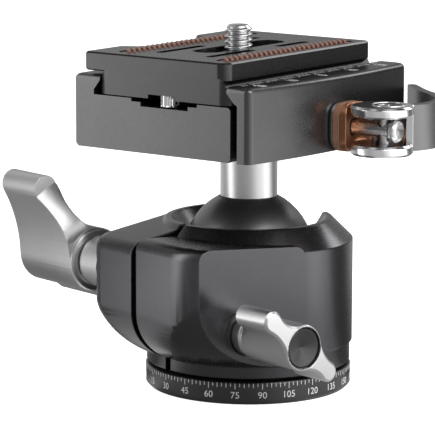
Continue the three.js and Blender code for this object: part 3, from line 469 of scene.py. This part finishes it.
def soften(piece: bpy.types.Object, angle: float = math.radians(32)) -> None:
    """Shades curved facets smooth and keeps real edges crisp.

    Args:
        piece: the object to shade.
        angle: edges sharper than this stay crisp.
    """
    for face in piece.data.polygons:
        face.use_smooth = True
    weld = piece.modifiers.new("weld", "WELD")
    weld.merge_threshold = WELD
    split = piece.modifiers.new("edges", "EDGE_SPLIT")
    split.split_angle = angle
    split.use_edge_sharp = False
    normals = piece.modifiers.new("normals", "WEIGHTED_NORMAL")
    normals.keep_sharp = True
    normals.weight = 60


def baked(piece: bpy.types.Object, name: str) -> bpy.types.Object:
    """Turns an object with live modifiers, or a text, into a plain mesh object.

    Args:
        piece: the object to turn; it is removed.
        name: the new object's name.

    Returns:
        The plain object.
    """
    bpy.context.view_layer.update()
    graph = bpy.context.evaluated_depsgraph_get()
    mesh = bpy.data.meshes.new_from_object(piece.evaluated_get(graph), depsgraph=graph)
    mesh.transform(piece.matrix_world)
    made = add_object(name, mesh)
    bpy.data.objects.remove(piece)
    return made


def joined(name: str, parts: list[bpy.types.Object], finish: bpy.types.Material) -> bpy.types.Object:
    """Joins plain mesh objects into one piece.

    Args:
        name: the piece's name.
        parts: the objects, which are removed.
        finish: the material of the whole.

    Returns:
        The joined piece.
    """
    collected = bmesh.new()
    for part in parts:
        collected.from_mesh(part.data)
        bpy.data.objects.remove(part)
    mesh = plain_mesh(name, collected)
    for face in mesh.polygons:
        face.material_index = 0
    return add_object(name, mesh, finish)


# ---- geometry nodes --------------------------------------------------------


def link_chain(tree: bpy.types.NodeTree, *nodes: bpy.types.Node) -> None:
    """Links the first output of each node to the first input of the next."""
    for before, after in zip(nodes, nodes[1:]):
        tree.links.new(before.outputs[0], after.inputs[0])


def tree_with_inputs(name: str, inputs: dict[str, str]) -> bpy.types.NodeTree:
    """Starts a geometry node tree.

    Args:
        name: the tree's name.
        inputs: socket name to socket type.

    Returns:
        The tree, with its named inputs and one geometry output.
    """
    tree = bpy.data.node_groups.new(name, "GeometryNodeTree")
    tree.interface.new_socket(name="Geometry", in_out="INPUT", socket_type="NodeSocketGeometry")
    for label, kind in inputs.items():
        tree.interface.new_socket(name=label, in_out="INPUT", socket_type=kind)
    tree.interface.new_socket(name="Geometry", in_out="OUTPUT", socket_type="NodeSocketGeometry")
    tree.nodes.new("NodeGroupInput").name = "In"
    tree.nodes.new("NodeGroupOutput").name = "Out"
    return tree


def ring_tree() -> bpy.types.NodeTree:
    """Blocks set round the Z axis at even angles, such as ticks or knurls.

    Returns:
        The tree, with inputs Count, Start, Step, Place, Size and Finish.
    """
    tree = tree_with_inputs("blocks round an axis", {
        "Count": "NodeSocketInt", "Start": "NodeSocketFloat", "Step": "NodeSocketFloat",
        "Place": "NodeSocketVector", "Size": "NodeSocketVector", "Finish": "NodeSocketMaterial",
    })
    source, sink = tree.nodes["In"], tree.nodes["Out"]
    line = tree.nodes.new("GeometryNodeMeshLine")
    line.inputs["Offset"].default_value = (0.0, 0.0, 0.0)
    block = tree.nodes.new("GeometryNodeMeshCube")
    placed = tree.nodes.new("GeometryNodeTransform")
    spread = tree.nodes.new("GeometryNodeInstanceOnPoints")
    real = tree.nodes.new("GeometryNodeRealizeInstances")
    dressed = tree.nodes.new("GeometryNodeSetMaterial")
    index = tree.nodes.new("GeometryNodeInputIndex")
    turn = tree.nodes.new("ShaderNodeMath")
    turn.operation = "MULTIPLY_ADD"
    angles = tree.nodes.new("ShaderNodeCombineXYZ")
    tree.links.new(source.outputs["Count"], line.inputs["Count"])
    tree.links.new(source.outputs["Size"], block.inputs["Size"])
    tree.links.new(block.outputs["Mesh"], placed.inputs["Geometry"])
    tree.links.new(source.outputs["Place"], placed.inputs["Translation"])
    tree.links.new(line.outputs["Mesh"], spread.inputs["Points"])
    tree.links.new(placed.outputs["Geometry"], spread.inputs["Instance"])
    tree.links.new(index.outputs[0], turn.inputs[0])
    tree.links.new(source.outputs["Step"], turn.inputs[1])
    tree.links.new(source.outputs["Start"], turn.inputs[2])
    tree.links.new(turn.outputs[0], angles.inputs["Z"])
    tree.links.new(angles.outputs[0], spread.inputs["Rotation"])
    link_chain(tree, spread, real, dressed)
    tree.links.new(source.outputs["Finish"], dressed.inputs["Material"])
    tree.links.new(dressed.outputs[0], sink.inputs[0])
    return tree


def row_tree() -> bpy.types.NodeTree:
    """Blocks set in a straight row at even spacing, such as ruler ticks or ribs.

    Returns:
        The tree, with inputs Count, Start, Step, Size and Finish.
    """
    tree = tree_with_inputs("blocks in a row", {
        "Count": "NodeSocketInt", "Start": "NodeSocketVector", "Step": "NodeSocketVector",
        "Size": "NodeSocketVector", "Finish": "NodeSocketMaterial",
    })
    source, sink = tree.nodes["In"], tree.nodes["Out"]
    line = tree.nodes.new("GeometryNodeMeshLine")
    block = tree.nodes.new("GeometryNodeMeshCube")
    spread = tree.nodes.new("GeometryNodeInstanceOnPoints")
    real = tree.nodes.new("GeometryNodeRealizeInstances")
    dressed = tree.nodes.new("GeometryNodeSetMaterial")
    tree.links.new(source.outputs["Count"], line.inputs["Count"])
    tree.links.new(source.outputs["Start"], line.inputs["Start Location"])
    tree.links.new(source.outputs["Step"], line.inputs["Offset"])
    tree.links.new(source.outputs["Size"], block.inputs["Size"])
    tree.links.new(line.outputs["Mesh"], spread.inputs["Points"])
    tree.links.new(block.outputs["Mesh"], spread.inputs["Instance"])
    link_chain(tree, spread, real, dressed)
    tree.links.new(source.outputs["Finish"], dressed.inputs["Material"])
    tree.links.new(dressed.outputs[0], sink.inputs[0])
    return tree


def grown(tree: bpy.types.NodeTree, name: str, values: dict[str, object]) -> bpy.types.Object:
    """Runs a geometry node tree on an empty mesh and keeps the plain result.

    Args:
        tree: the tree.
        name: the result's name.
        values: input name to value.

    Returns:
        The plain mesh object.
    """
    seed = add_object(name + "_seed", bpy.data.meshes.new(name))
    modifier = seed.modifiers.new("grow", "NODES")
    modifier.node_group = tree
    sockets = {item.name: item.identifier for item in tree.interface.items_tree if item.in_out == "INPUT"}
    for label, value in values.items():
        modifier[sockets[label]] = value
    return baked(seed, name)


@dataclass
class Repeats:
    """The two geometry node trees that make everything that repeats."""

    ring: bpy.types.NodeTree = field(default_factory=ring_tree)
    row: bpy.types.NodeTree = field(default_factory=row_tree)


def lettering(text: str, size: float, depth: float) -> bpy.types.Object:
    """Sets a number in the plain built-in face, centred, facing +Z, reading along +X.

    Args:
        text: the digits.
        size: height of the face, in metres.
        depth: thickness of the paint, in metres.

    Returns:
        A plain mesh object.
    """
    curve = bpy.data.curves.new("digits", "FONT")
    curve.body = text
    curve.size = size
    curve.align_x = "CENTER"
    curve.align_y = "CENTER"
    curve.extrude = depth / 2
    curve.resolution_u = 4
    piece = bpy.data.objects.new("digits", curve)
    bpy.context.scene.collection.objects.link(piece)
    return baked(piece, "digits_mesh")


# ---- sub-assemblies --------------------------------------------------------


@dataclass
class CarriedNodes:
    """The frame's own solids, shaded and finished."""

    nodes: dict[str, bpy.types.Object]
    finishes: Finishes

    def dress(self) -> None:
        """Gives every node its finish and smooth shading."""
        for name, finish in NODE_FINISHES.items():
            node = self.nodes[name]
            node.data.materials.clear()
            node.data.materials.append(self.finishes.get(finish))
            soften(node)
            LOG.info("dressed %s as %s", name, finish.name)


@dataclass
class DegreeScale:
    """White-filled degree scale round the rim of the panning base."""

    finishes: Finishes
    repeats: Repeats
    radius: float = 23.65 * MM
    top: float = 5.0 * MM
    paint: float = 0.03 * MM
    stroke: float = 0.14 * MM
    zero: float = math.radians(-136.0)
    numeral: float = 2.15 * MM
    numeral_z: float = 2.2 * MM
    short: float = 0.8 * MM
    middling: float = 1.0 * MM
    long: float = 1.35 * MM

    def ticks(self, name: str, count: int, start: float, step: float, length: float) -> bpy.types.Object:
        """Makes one ring of ticks hanging from the rim.

        Args:
            name: the ring's name.
            count: how many.
            start: degrees from zero of the first.
            step: degrees between them.
            length: their length in metres.

        Returns:
            The ring as a plain mesh.
        """
        return grown(self.repeats.ring, name, {
            "Count": count, "Start": self.zero + math.radians(start), "Step": math.radians(step),
            "Place": (self.radius, 0.0, self.top - length / 2), "Size": (self.paint * 2, self.stroke, length),
            "Finish": self.finishes.get(WHITE_FILL),
        })

    def number(self, degrees: int) -> bpy.types.Object:
        """Bends one number round the rim."""
        digits = lettering(str(degrees), self.numeral, self.paint)
        middle = self.zero + math.radians(degrees)
        for vertex in digits.data.vertices:
            across, up, out = vertex.co
            angle = middle + across / self.radius
            reach = self.radius + self.paint / 4 + out
            vertex.co = (reach * math.cos(angle), reach * math.sin(angle), self.numeral_z + up)
        return digits

    def build(self) -> None:
        """Builds the ticks and numbers as one piece on the base."""
        parts = [
            self.ticks("short_ticks", 72, 2.5, 5.0, self.short),
            self.ticks("five_ticks", 24, 5.0, 15.0, self.middling),
            self.ticks("ten_ticks", 24, 10.0, 15.0, self.middling),
            self.ticks("long_ticks", 24, 0.0, 15.0, self.long),
        ]
        parts += [self.number(degrees) for degrees in range(0, 360, 15)]
        scale = joined("degree_scale", parts, self.finishes.get(WHITE_FILL))
        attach(scale, Body.BASE.value)
        LOG.info("built degree_scale")


@dataclass
class JawRuler:
    """Centred ruler along the inner edge of the moving jaw's top."""

    finishes: Finishes
    repeats: Repeats
    top: float = 73.5 * MM
    paint: float = 0.03 * MM
    middle: float = -2.8 * MM
    edge: float = 18.3 * MM
    stroke: float = 0.22 * MM
    pitch: float = 1.178 * MM
    reach: int = 22
    numeral: float = 3.7 * MM
    numeral_x: float = 22.3 * MM
    condensed: float = 0.62
    short: float = 1.3 * MM
    middling: float = 1.7 * MM
    long: float = 2.1 * MM

    def ticks(self, name: str, every: int, length: float, count: int, first: int) -> bpy.types.Object:
        """Makes one row of ticks.

        Args:
            name: the row's name.
            every: graduations between ticks.
            length: tick length in metres.
            count: how many.
            first: graduation of the first tick.

        Returns:
            The row as a plain mesh.
        """
        return grown(self.repeats.row, name, {
            "Count": count, "Start": (self.edge + length / 2, self.middle + first * self.pitch, self.top),
            "Step": (0.0, every * self.pitch, 0.0), "Size": (length, self.stroke, self.paint * 2),
            "Finish": self.finishes.get(WHITE_FILL),
        })

    def number(self, value: int, graduation: int) -> bpy.types.Object:
        """Lays one number flat on the jaw, reading along +Y."""
        digits = lettering(str(value), self.numeral, self.paint)
        centre = Vector((self.numeral_x, self.middle + graduation * self.pitch, self.top + self.paint / 4))
        narrow = Matrix.Diagonal((self.condensed, 1.0, 1.0, 1.0))
        digits.data.transform(Matrix.Translation(centre) @ Matrix.Rotation(math.pi / 2, 4, "Z") @ narrow)
        return digits

    def build(self) -> None:
        """Builds the ruler as one piece on the jaw."""
        parts = [
            self.ticks("ruler_single", 1, self.short, 2 * self.reach + 1, -self.reach),
            self.ticks("ruler_five", 5, self.middling, 2 * (self.reach // 5) + 1, -5 * (self.reach // 5)),
            self.ticks("ruler_ten", 10, self.long, 2 * (self.reach // 10) + 1, -10 * (self.reach // 10)),
        ]
        parts += [self.number(abs(tens) * 10, tens * 10) for tens in range(-2, 3)]
        ruler = joined("jaw_ruler", parts, self.finishes.get(WHITE_FILL))
        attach(ruler, Body.JAW.value)
        LOG.info("built jaw_ruler")


@dataclass
class CameraScrew:
    """Camera screw with its helical thread over the solid's own head."""

    finishes: Finishes
    y: float = -4.25 * MM
    crest: float = 3.175 * MM
    root: float = 2.55 * MM
    pitch: float = 1.27 * MM
    foot: float = 73.0 * MM
    top: float = 83.5 * MM
    point: float = 0.8 * MM
    point_rise: float = 0.9
    point_sink: float = 0.35 * MM
    root_flat: float = 0.12
    flank_share: float = 0.72
    rows_per_turn: int = 12
    slack: float = 0.1 * MM
    sides: int = 48

    def thread_radius(self, height: float, turn: float) -> float:
        """Radius of the thread's flank.

        Args:
            height: height above the foot, in metres.
            turn: share of a turn round the axis.

        Returns:
            The radius in metres, rounded at crest and root and faded at the point.
        """
        phase = (height / self.pitch - turn) % 1.0
        flank = 1.0 - abs(2.0 * phase - 1.0)
        shape = min(1.0, max(0.0, (flank - self.root_flat) / self.flank_share))
        radius = self.root + (self.crest - self.root) * shape
        left = self.top - self.foot - height
        if left >= self.point:
            return radius
        return min(radius, self.root - self.point_sink + max(0.0, left) * self.point_rise)

    def stud(self, bm: bmesh.types.BMesh) -> None:
        """Adds the threaded stud, closed at both ends."""
        rows = int((self.top - self.foot) / (self.pitch / self.rows_per_turn))
        rings = []
        for row in range(rows + 1):
            height = (self.top - self.foot) * row / rows
            ring = []
            for side in range(self.sides):
                radius = self.thread_radius(height, side / self.sides)
                angle = 2 * math.pi * side / self.sides
                place = (radius * math.cos(angle), self.y + radius * math.sin(angle), self.foot + height)
                ring.append(bm.verts.new(place))
            rings.append(ring)
        for low, high in zip(rings, rings[1:]):
            for side in range(self.sides):
                after = (side + 1) % self.sides
                bm.faces.new((low[side], low[after], high[after], high[side]))
        bm.faces.new(list(reversed(rings[0])))
        bm.faces.new(rings[-1])

    def build(self) -> None:
        """Builds the thread over the plain stud and keeps the plain head as it is."""
        bm = bmesh.new()
        self.stud(bm)
        mesh = plain_mesh("camera_screw_thread", bm, smooth=True)
        head = bmesh.new()
        head.from_mesh(bpy.data.objects["camera_screw"].data)
        bmesh.ops.remove_doubles(head, verts=head.verts, dist=WELD)
        above = [v for v in head.verts if v.co.z > self.foot + self.slack]
        bmesh.ops.delete(head, geom=above, context="VERTS")
        bmesh.ops.holes_fill(head, edges=[e for e in head.edges if e.is_boundary], sides=0)
        bmesh.ops.recalc_face_normals(head, faces=head.faces)
        head_mesh = plain_mesh("camera_screw_head", head)
        steel = self.finishes.get(STEEL)
        thread = add_object("camera_screw_thread", mesh, steel)
        base = add_object("camera_screw_head", head_mesh, steel)
        soften(base)
        for piece in (thread, base):
            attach(piece, Body.CAMERA_SCREW.value)
        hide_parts("camera_screw")
        LOG.info("built camera_screw_thread")


@dataclass
class RubberStrips:
    """Two strips of ribbed rubber let into the plate's top."""

    finishes: Finishes
    repeats: Repeats
    x: float = 13.5 * MM
    half: float = 1.65 * MM
    near: float = -29.0 * MM
    far: float = 20.0 * MM
    foot: float = 77.7 * MM
    skin: float = 78.3 * MM
    crest: float = 79.05 * MM
    ribs: int = 26
    lean: float = math.radians(45)
    share: float = 0.5
    sink: float = 0.2 * MM
    worn: float = 0.2 * MM
    slant_share: float = 0.55
    end_steps: int = 12

    def strip(self, name: str, side: int) -> bpy.types.Object:
        """Builds one strip.

        Args:
            name: the piece's name.
            side: -1 for the left strip, 1 for the right.

        Returns:
            The strip as a plain mesh.
        """
        slant = self.slant_share * self.half * math.tan(self.lean)
        height = self.crest - self.skin + self.sink
        pitch = (self.far - self.near - 2 * slant) / self.ribs
        ribs = grown(self.repeats.row, name + "_ribs", {
            "Count": self.ribs,
            "Start": (side * self.x, self.near + slant + pitch / 2, (self.skin + self.crest - self.sink) / 2),
            "Step": (0.0, pitch, 0.0), "Size": (2 * self.half, pitch * self.share, height),
            "Finish": self.finishes.get(RUBBER),
        })
        for vertex in ribs.data.vertices:
            vertex.co.y -= (vertex.co.x - side * self.x) * math.tan(self.lean)
        bed = self.bed(side)
        piece = joined(name, [ribs, bed], self.finishes.get(RUBBER))
        edge = piece.modifiers.new("worn edges", "BEVEL")
        edge.width = self.worn
        edge.segments = 2
        edge.limit_method = "ANGLE"
        return piece

    def bed(self, side: int) -> bpy.types.Object:
        """Builds the strip's round-ended bed."""
        bm = bmesh.new()
        rim = []
        for end, turn in ((self.far - self.half, 0.0), (self.near + self.half, math.pi)):
            for step in range(self.end_steps + 1):
                angle = turn + math.pi * step / self.end_steps
                rim.append((side * self.x + self.half * math.cos(angle), end + self.half * math.sin(angle)))
        low = [bm.verts.new((x, y, self.foot)) for x, y in rim]
        high = [bm.verts.new((x, y, self.skin)) for x, y in rim]
        for i in range(len(rim)):
            after = (i + 1) % len(rim)
            bm.faces.new((low[i], low[after], high[after], high[i]))
        bm.faces.new(list(reversed(low)))
        bm.faces.new(high)
        return add_object("strip_bed", plain_mesh("strip_bed", bm))

    def build(self) -> None:
        """Builds both strips in place of the plain ones."""
        for label, side in (("left", -1), ("right", 1)):
            strip = self.strip(f"ribbed_strip_{label}", side)
            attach(strip, Body.PLATE.value)
            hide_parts(f"rubber_strip_{label}")
            LOG.info("built %s", strip.name)


@dataclass
class StopKnurls:
    """Straight knurls round the heads of the two stop screws."""

    finishes: Finishes
    repeats: Repeats
    x: float = 0.4 * MM
    front: float = -30.2 * MM
    rear: float = 21.6 * MM
    radius: float = 1.9 * MM
    foot: float = 68.0 * MM
    top: float = 70.6 * MM
    ridges: int = 30
    proud: float = 0.1 * MM
    wide: float = 0.2 * MM

    def build(self) -> None:
        """Builds one ring of ridges on each screw."""
        for label, y in (("front", self.front), ("rear", self.rear)):
            ridges = grown(self.repeats.ring, f"stop_knurl_{label}", {
                "Count": self.ridges, "Start": 0.0, "Step": 2 * math.pi / self.ridges,
                "Place": (self.radius, 0.0, (self.foot + self.top) / 2),
                "Size": (2 * self.proud, self.wide, self.top - self.foot),
                "Finish": self.finishes.get(CHROME),
            })
            ridges.data.transform(Matrix.Translation((self.x, y, 0.0)))
            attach(ridges, Body.PLATE.value)
            LOG.info("built %s", ridges.name)


@dataclass
class DiscRing:
    """Fine raised ring on the cam's upper disc."""

    finishes: Finishes
    centre: tuple[float, float, float] = (37.6 * MM, 0.6 * MM, 67.8 * MM)
    radius: float = 3.75 * MM
    wire: float = 0.13 * MM
    around: int = 96
    across: int = 10

    def build(self) -> None:
        """Builds the ring, half sunk in the disc."""
        bm = bmesh.new()
        rings = []
        for step in range(self.around):
            turn = 2 * math.pi * step / self.around
            ring = []
            for part in range(self.across):
                roll = 2 * math.pi * part / self.across
                reach = self.radius + self.wire * math.cos(roll)
                ring.append(bm.verts.new((
                    self.centre[0] + reach * math.cos(turn), self.centre[1] + reach * math.sin(turn),
                    self.centre[2] + self.wire * math.sin(roll),
                )))
            rings.append(ring)
        for step, ring in enumerate(rings):
            after = rings[(step + 1) % self.around]
            for part in range(self.across):
                side = (part + 1) % self.across
                bm.faces.new((ring[part], after[part], after[side], ring[side]))
        piece = add_object("cam_disc_ring", plain_mesh("cam_disc_ring", bm, smooth=True), self.finishes.get(CHROME))
        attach(piece, Body.LEVER.value)
        LOG.info("built cam_disc_ring")


# ---- studio ----------------------------------------------------------------


@dataclass(frozen=True)
class SoftBox:
    """One soft box: degrees round the head as the camera's azimuth is counted, metres, and brightness."""

    name: str
    azimuth: float
    reach: float
    centre: float
    aim: float
    width: float
    height: float
    radiance: float


SOFT_BOXES = (
    SoftBox("key box", 74, 0.36, 0.4, 0.05, 0.4, 0.36, 3.3),
    SoftBox("rim strip", 169, 0.7, 0.54, 0.05, 0.26, 0.26, 4.5),
    SoftBox("left strip", -42, 0.5, 0.2, 0.12, 0.14, 0.4, 1.0),
)

# Brightness of the tent round the head, by the azimuth the camera's own is counted in.
TENT = (
    (-180, 0.45), (-150, 0.3), (-139, 0.45), (-125, 0.72), (-105, 0.7), (-90, 0.5), (-78, 0.35), (-68, 0.22),
    (-62, 0.25), (-56, 1.6), (-48, 2.2), (-40, 2.5), (-34, 1.9), (-28, 0.5), (-20, 0.32), (-8, 0.28), (20, 0.38),
    (40, 0.4), (55, 0.7), (75, 1.3), (88, 1.25), (96, 1.4), (103, 2.05), (114, 2.15), (122, 1.6), (129, 1.4),
    (135, 0.27), (141, 0.11), (150, 0.06), (160, 0.08), (170, 0.3), (180, 0.45),
)
TENT_PEAK = 3.0


def tent_group() -> bpy.types.NodeTree:
    """Brightness of the soft tent in a direction, read off its azimuth.

    Returns:
        The group, with output Strength.
    """
    tree = new_group("tent", {"Direction": ("NodeSocketVector", 0.0)}, ("Strength",))
    source, sink = tree.nodes["In"], tree.nodes["Out"]
    split = tree.nodes.new("ShaderNodeSeparateXYZ")
    tree.links.new(source.outputs["Direction"], split.inputs[0])
    front = math_node(tree, "MULTIPLY", split.outputs[1], -1.0)
    turn = math_node(tree, "ARCTAN2", split.outputs[0], front)
    share = math_node(tree, "ADD", math_node(tree, "DIVIDE", turn, 2 * math.pi), 0.5)
    ramp = tree.nodes.new("ShaderNodeValToRGB")
    ramp.color_ramp.interpolation = "EASE"
    stops = ramp.color_ramp.elements
    for place, (azimuth, value) in enumerate(TENT):
        position = (azimuth + 180) / 360
        stop = stops[place] if place < 2 else stops.new(position)
        stop.position = position
        level = value / TENT_PEAK
        stop.color = (level, level, level, 1.0)
    tree.links.new(share, ramp.inputs[0])
    tree.links.new(math_node(tree, "MULTIPLY", ramp.outputs["Color"], TENT_PEAK), sink.inputs["Strength"])
    return tree


@dataclass
class Studio:
    """Pale floor, soft boxes and the camera of the photograph."""

    azimuth: float = math.radians(36.65)
    elevation: float = math.radians(10.06)
    roll: float = math.radians(0.14)
    distance: float = 0.65
    aim_height: float = 38.55 * MM
    aim_side: float = -7.16 * MM
    focal_px: float = 2828.0
    frame_px: float = 435.0
    # Floor colour for every ray but the camera's: a dark copy of the paper, painted shade in the floor's
    # reflections and in the light it throws back.
    table: tuple[float, float, float] = (0.1, 0.1, 0.1)
    paper: tuple[float, float, float] = (0.93, 0.93, 0.93)
    paper_glow: float = 0.85
    # Painted contact shade: the tent's glow on the floor is 0.4 of itself within 0.08 m of the head and 1.05 of
    # itself past 0.18 m, seen by every ray but the camera's.
    near: tuple[float, float] = (0.08, 0.18)
    near_share: tuple[float, float] = (0.4, 1.05)
    ceiling: tuple[float, float] = (0.6, 0.9)
    ceiling_share: float = 0.28
    tent: bpy.types.NodeTree = field(default_factory=tent_group)

    def camera(self) -> None:
        """Sets the camera at the photograph's place and lens."""
        a, e = self.azimuth, self.elevation
        right = Vector((math.cos(a), math.sin(a), 0.0))
        back = Vector((math.sin(a) * math.cos(e), -math.cos(a) * math.cos(e), math.sin(e)))
        up = back.cross(right)
        data = bpy.data.cameras.new("camera")
        data.sensor_width = 36.0
        data.sensor_fit = "HORIZONTAL"
        data.lens = self.focal_px / self.frame_px * data.sensor_width
        data.clip_start = 0.01
        lens = bpy.data.objects.new("camera", data)
        place = Vector((0.0, 0.0, self.aim_height)) + right * self.aim_side + back * self.distance
        turned = Matrix((right, up, back)).transposed() @ Matrix.Rotation(self.roll, 3, "Z")
        lens.matrix_world = Matrix.Translation(place) @ turned.to_4x4()
        bpy.context.scene.collection.objects.link(lens)
        bpy.context.scene.camera = lens

    def soft_box(self, box: SoftBox) -> None:
        """Adds one soft box, turned to the head.

        Args:
            box: its place, size and brightness.
        """
        data = bpy.data.lights.new(box.name, "AREA")
        data.shape = "RECTANGLE"
        data.size, data.size_y = box.width, box.height
        data.energy = box.radiance * math.pi * box.width * box.height
        lamp = bpy.data.objects.new(box.name, data)
        a = math.radians(box.azimuth)
        place = Vector((math.sin(a) * box.reach, -math.cos(a) * box.reach, box.centre))
        aim = Vector((0.0, 0.0, box.aim)) - place
        lamp.matrix_world = Matrix.Translation(place) @ aim.to_track_quat("-Z", "Y").to_matrix().to_4x4()
        bpy.context.scene.collection.objects.link(lamp)

    def floor(self) -> None:
        """Adds the pale floor: white paper to the camera; to whatever else it lights, a dark painted-shade copy of
        the paper glowing with the foot of the tent, the glow dimmed near the head as painted contact shade.
        """
        bm = bmesh.new()
        bmesh.ops.create_grid(bm, x_segments=2, y_segments=2, size=6.0)
        mesh = plain_mesh("studio_floor", bm)
        pale = bpy.data.materials.new("studio paper")
        pale.use_nodes = True
        tree = pale.node_tree
        shader = tree.nodes["Principled BSDF"]
        shader.inputs["Roughness"].default_value = 0.9
        shader.inputs["Specular IOR Level"].default_value = 0.1
        path = tree.nodes.new("ShaderNodeLightPath")
        # Paper for camera rays, the dark painted-shade copy of it for every other ray.
        tint = tree.nodes.new("ShaderNodeMix")
        tint.data_type = "RGBA"
        tint.inputs["A"].default_value = (*self.table, 1.0)
        tint.inputs["B"].default_value = (*self.paper, 1.0)
        tree.links.new(path.outputs["Is Camera Ray"], tint.inputs["Factor"])
        tree.links.new(tint.outputs["Result"], shader.inputs["Base Color"])
        shader.inputs["Emission Color"].default_value = (1.0, 1.0, 1.0, 1.0)
        where = tree.nodes.new("ShaderNodeTexCoord")
        tent = tree.nodes.new("ShaderNodeGroup")
        tent.node_tree = self.tent
        tree.links.new(where.outputs["Object"], tent.inputs["Direction"])
        reach = tree.nodes.new("ShaderNodeVectorMath")
        reach.operation = "LENGTH"
        tree.links.new(where.outputs["Object"], reach.inputs[0])
        # Painted contact shade: the tent's glow on the floor dims close to the head.
        near = tree.nodes.new("ShaderNodeMapRange")
        near.interpolation_type = "SMOOTHSTEP"
        near.inputs["From Min"].default_value, near.inputs["From Max"].default_value = self.near
        near.inputs["To Min"].default_value, near.inputs["To Max"].default_value = self.near_share
        tree.links.new(reach.outputs["Value"], near.inputs["Value"])
        mirrored = math_node(tree, "MULTIPLY", tent.outputs["Strength"], near.outputs["Result"])
        glow = tree.nodes.new("ShaderNodeMix")
        glow.inputs["B"].default_value = self.paper_glow
        tree.links.new(mirrored, glow.inputs["A"])
        tree.links.new(path.outputs["Is Camera Ray"], glow.inputs["Factor"])
        tree.links.new(glow.outputs["Result"], shader.inputs["Emission Strength"])
        pale.cycles.emission_sampling = "NONE"
        paper = add_object("studio_floor", mesh, pale)

    def world(self) -> None:
        """Sets a white surround for the camera and the soft tent for everything it lights."""
        world = bpy.data.worlds.new("studio air")
        world.use_nodes = True
        tree = world.node_tree
        air = tree.nodes["Background"]
        air.inputs["Color"].default_value = (1.0, 1.0, 1.0, 1.0)
        where = tree.nodes.new("ShaderNodeTexCoord")
        tent = tree.nodes.new("ShaderNodeGroup")
        tent.node_tree = self.tent
        tree.links.new(where.outputs["Generated"], tent.inputs["Direction"])
        split = tree.nodes.new("ShaderNodeSeparateXYZ")
        tree.links.new(where.outputs["Generated"], split.inputs[0])
        ceiling = tree.nodes.new("ShaderNodeMapRange")
        ceiling.interpolation_type = "SMOOTHSTEP"
        ceiling.inputs["From Min"].default_value, ceiling.inputs["From Max"].default_value = self.ceiling
        ceiling.inputs["To Min"].default_value = 1.0
        ceiling.inputs["To Max"].default_value = self.ceiling_share
        tree.links.new(split.outputs["Z"], ceiling.inputs["Value"])
        path = tree.nodes.new("ShaderNodeLightPath")
        glow = tree.nodes.new("ShaderNodeMix")
        glow.inputs["B"].default_value = 1.0
        lit = math_node(tree, "MULTIPLY", tent.outputs["Strength"], ceiling.outputs["Result"])
        tree.links.new(lit, glow.inputs["A"])
        tree.links.new(path.outputs["Is Camera Ray"], glow.inputs["Factor"])
        tree.links.new(glow.outputs["Result"], air.inputs["Strength"])
        bpy.context.scene.world = world

    def build(self) -> None:
        """Builds the studio."""
        self.camera()
        self.floor()
        self.world()
        for box in SOFT_BOXES:
            self.soft_box(box)
        bpy.context.scene.view_settings.view_transform = "Standard"


def main() -> None:
    """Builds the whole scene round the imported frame."""
    logging.basicConfig(level=logging.INFO, format="%(message)s")
    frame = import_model()
    finishes = Finishes()
    repeats = Repeats()
    Studio().build()
    CarriedNodes(frame["nodes"], finishes).dress()
    DegreeScale(finishes, repeats).build()
    JawRuler(finishes, repeats).build()
    CameraScrew(finishes).build()
    RubberStrips(finishes, repeats).build()
    StopKnurls(finishes, repeats).build()
    DiscRing(finishes).build()


if __name__ == "__main__":
    main()
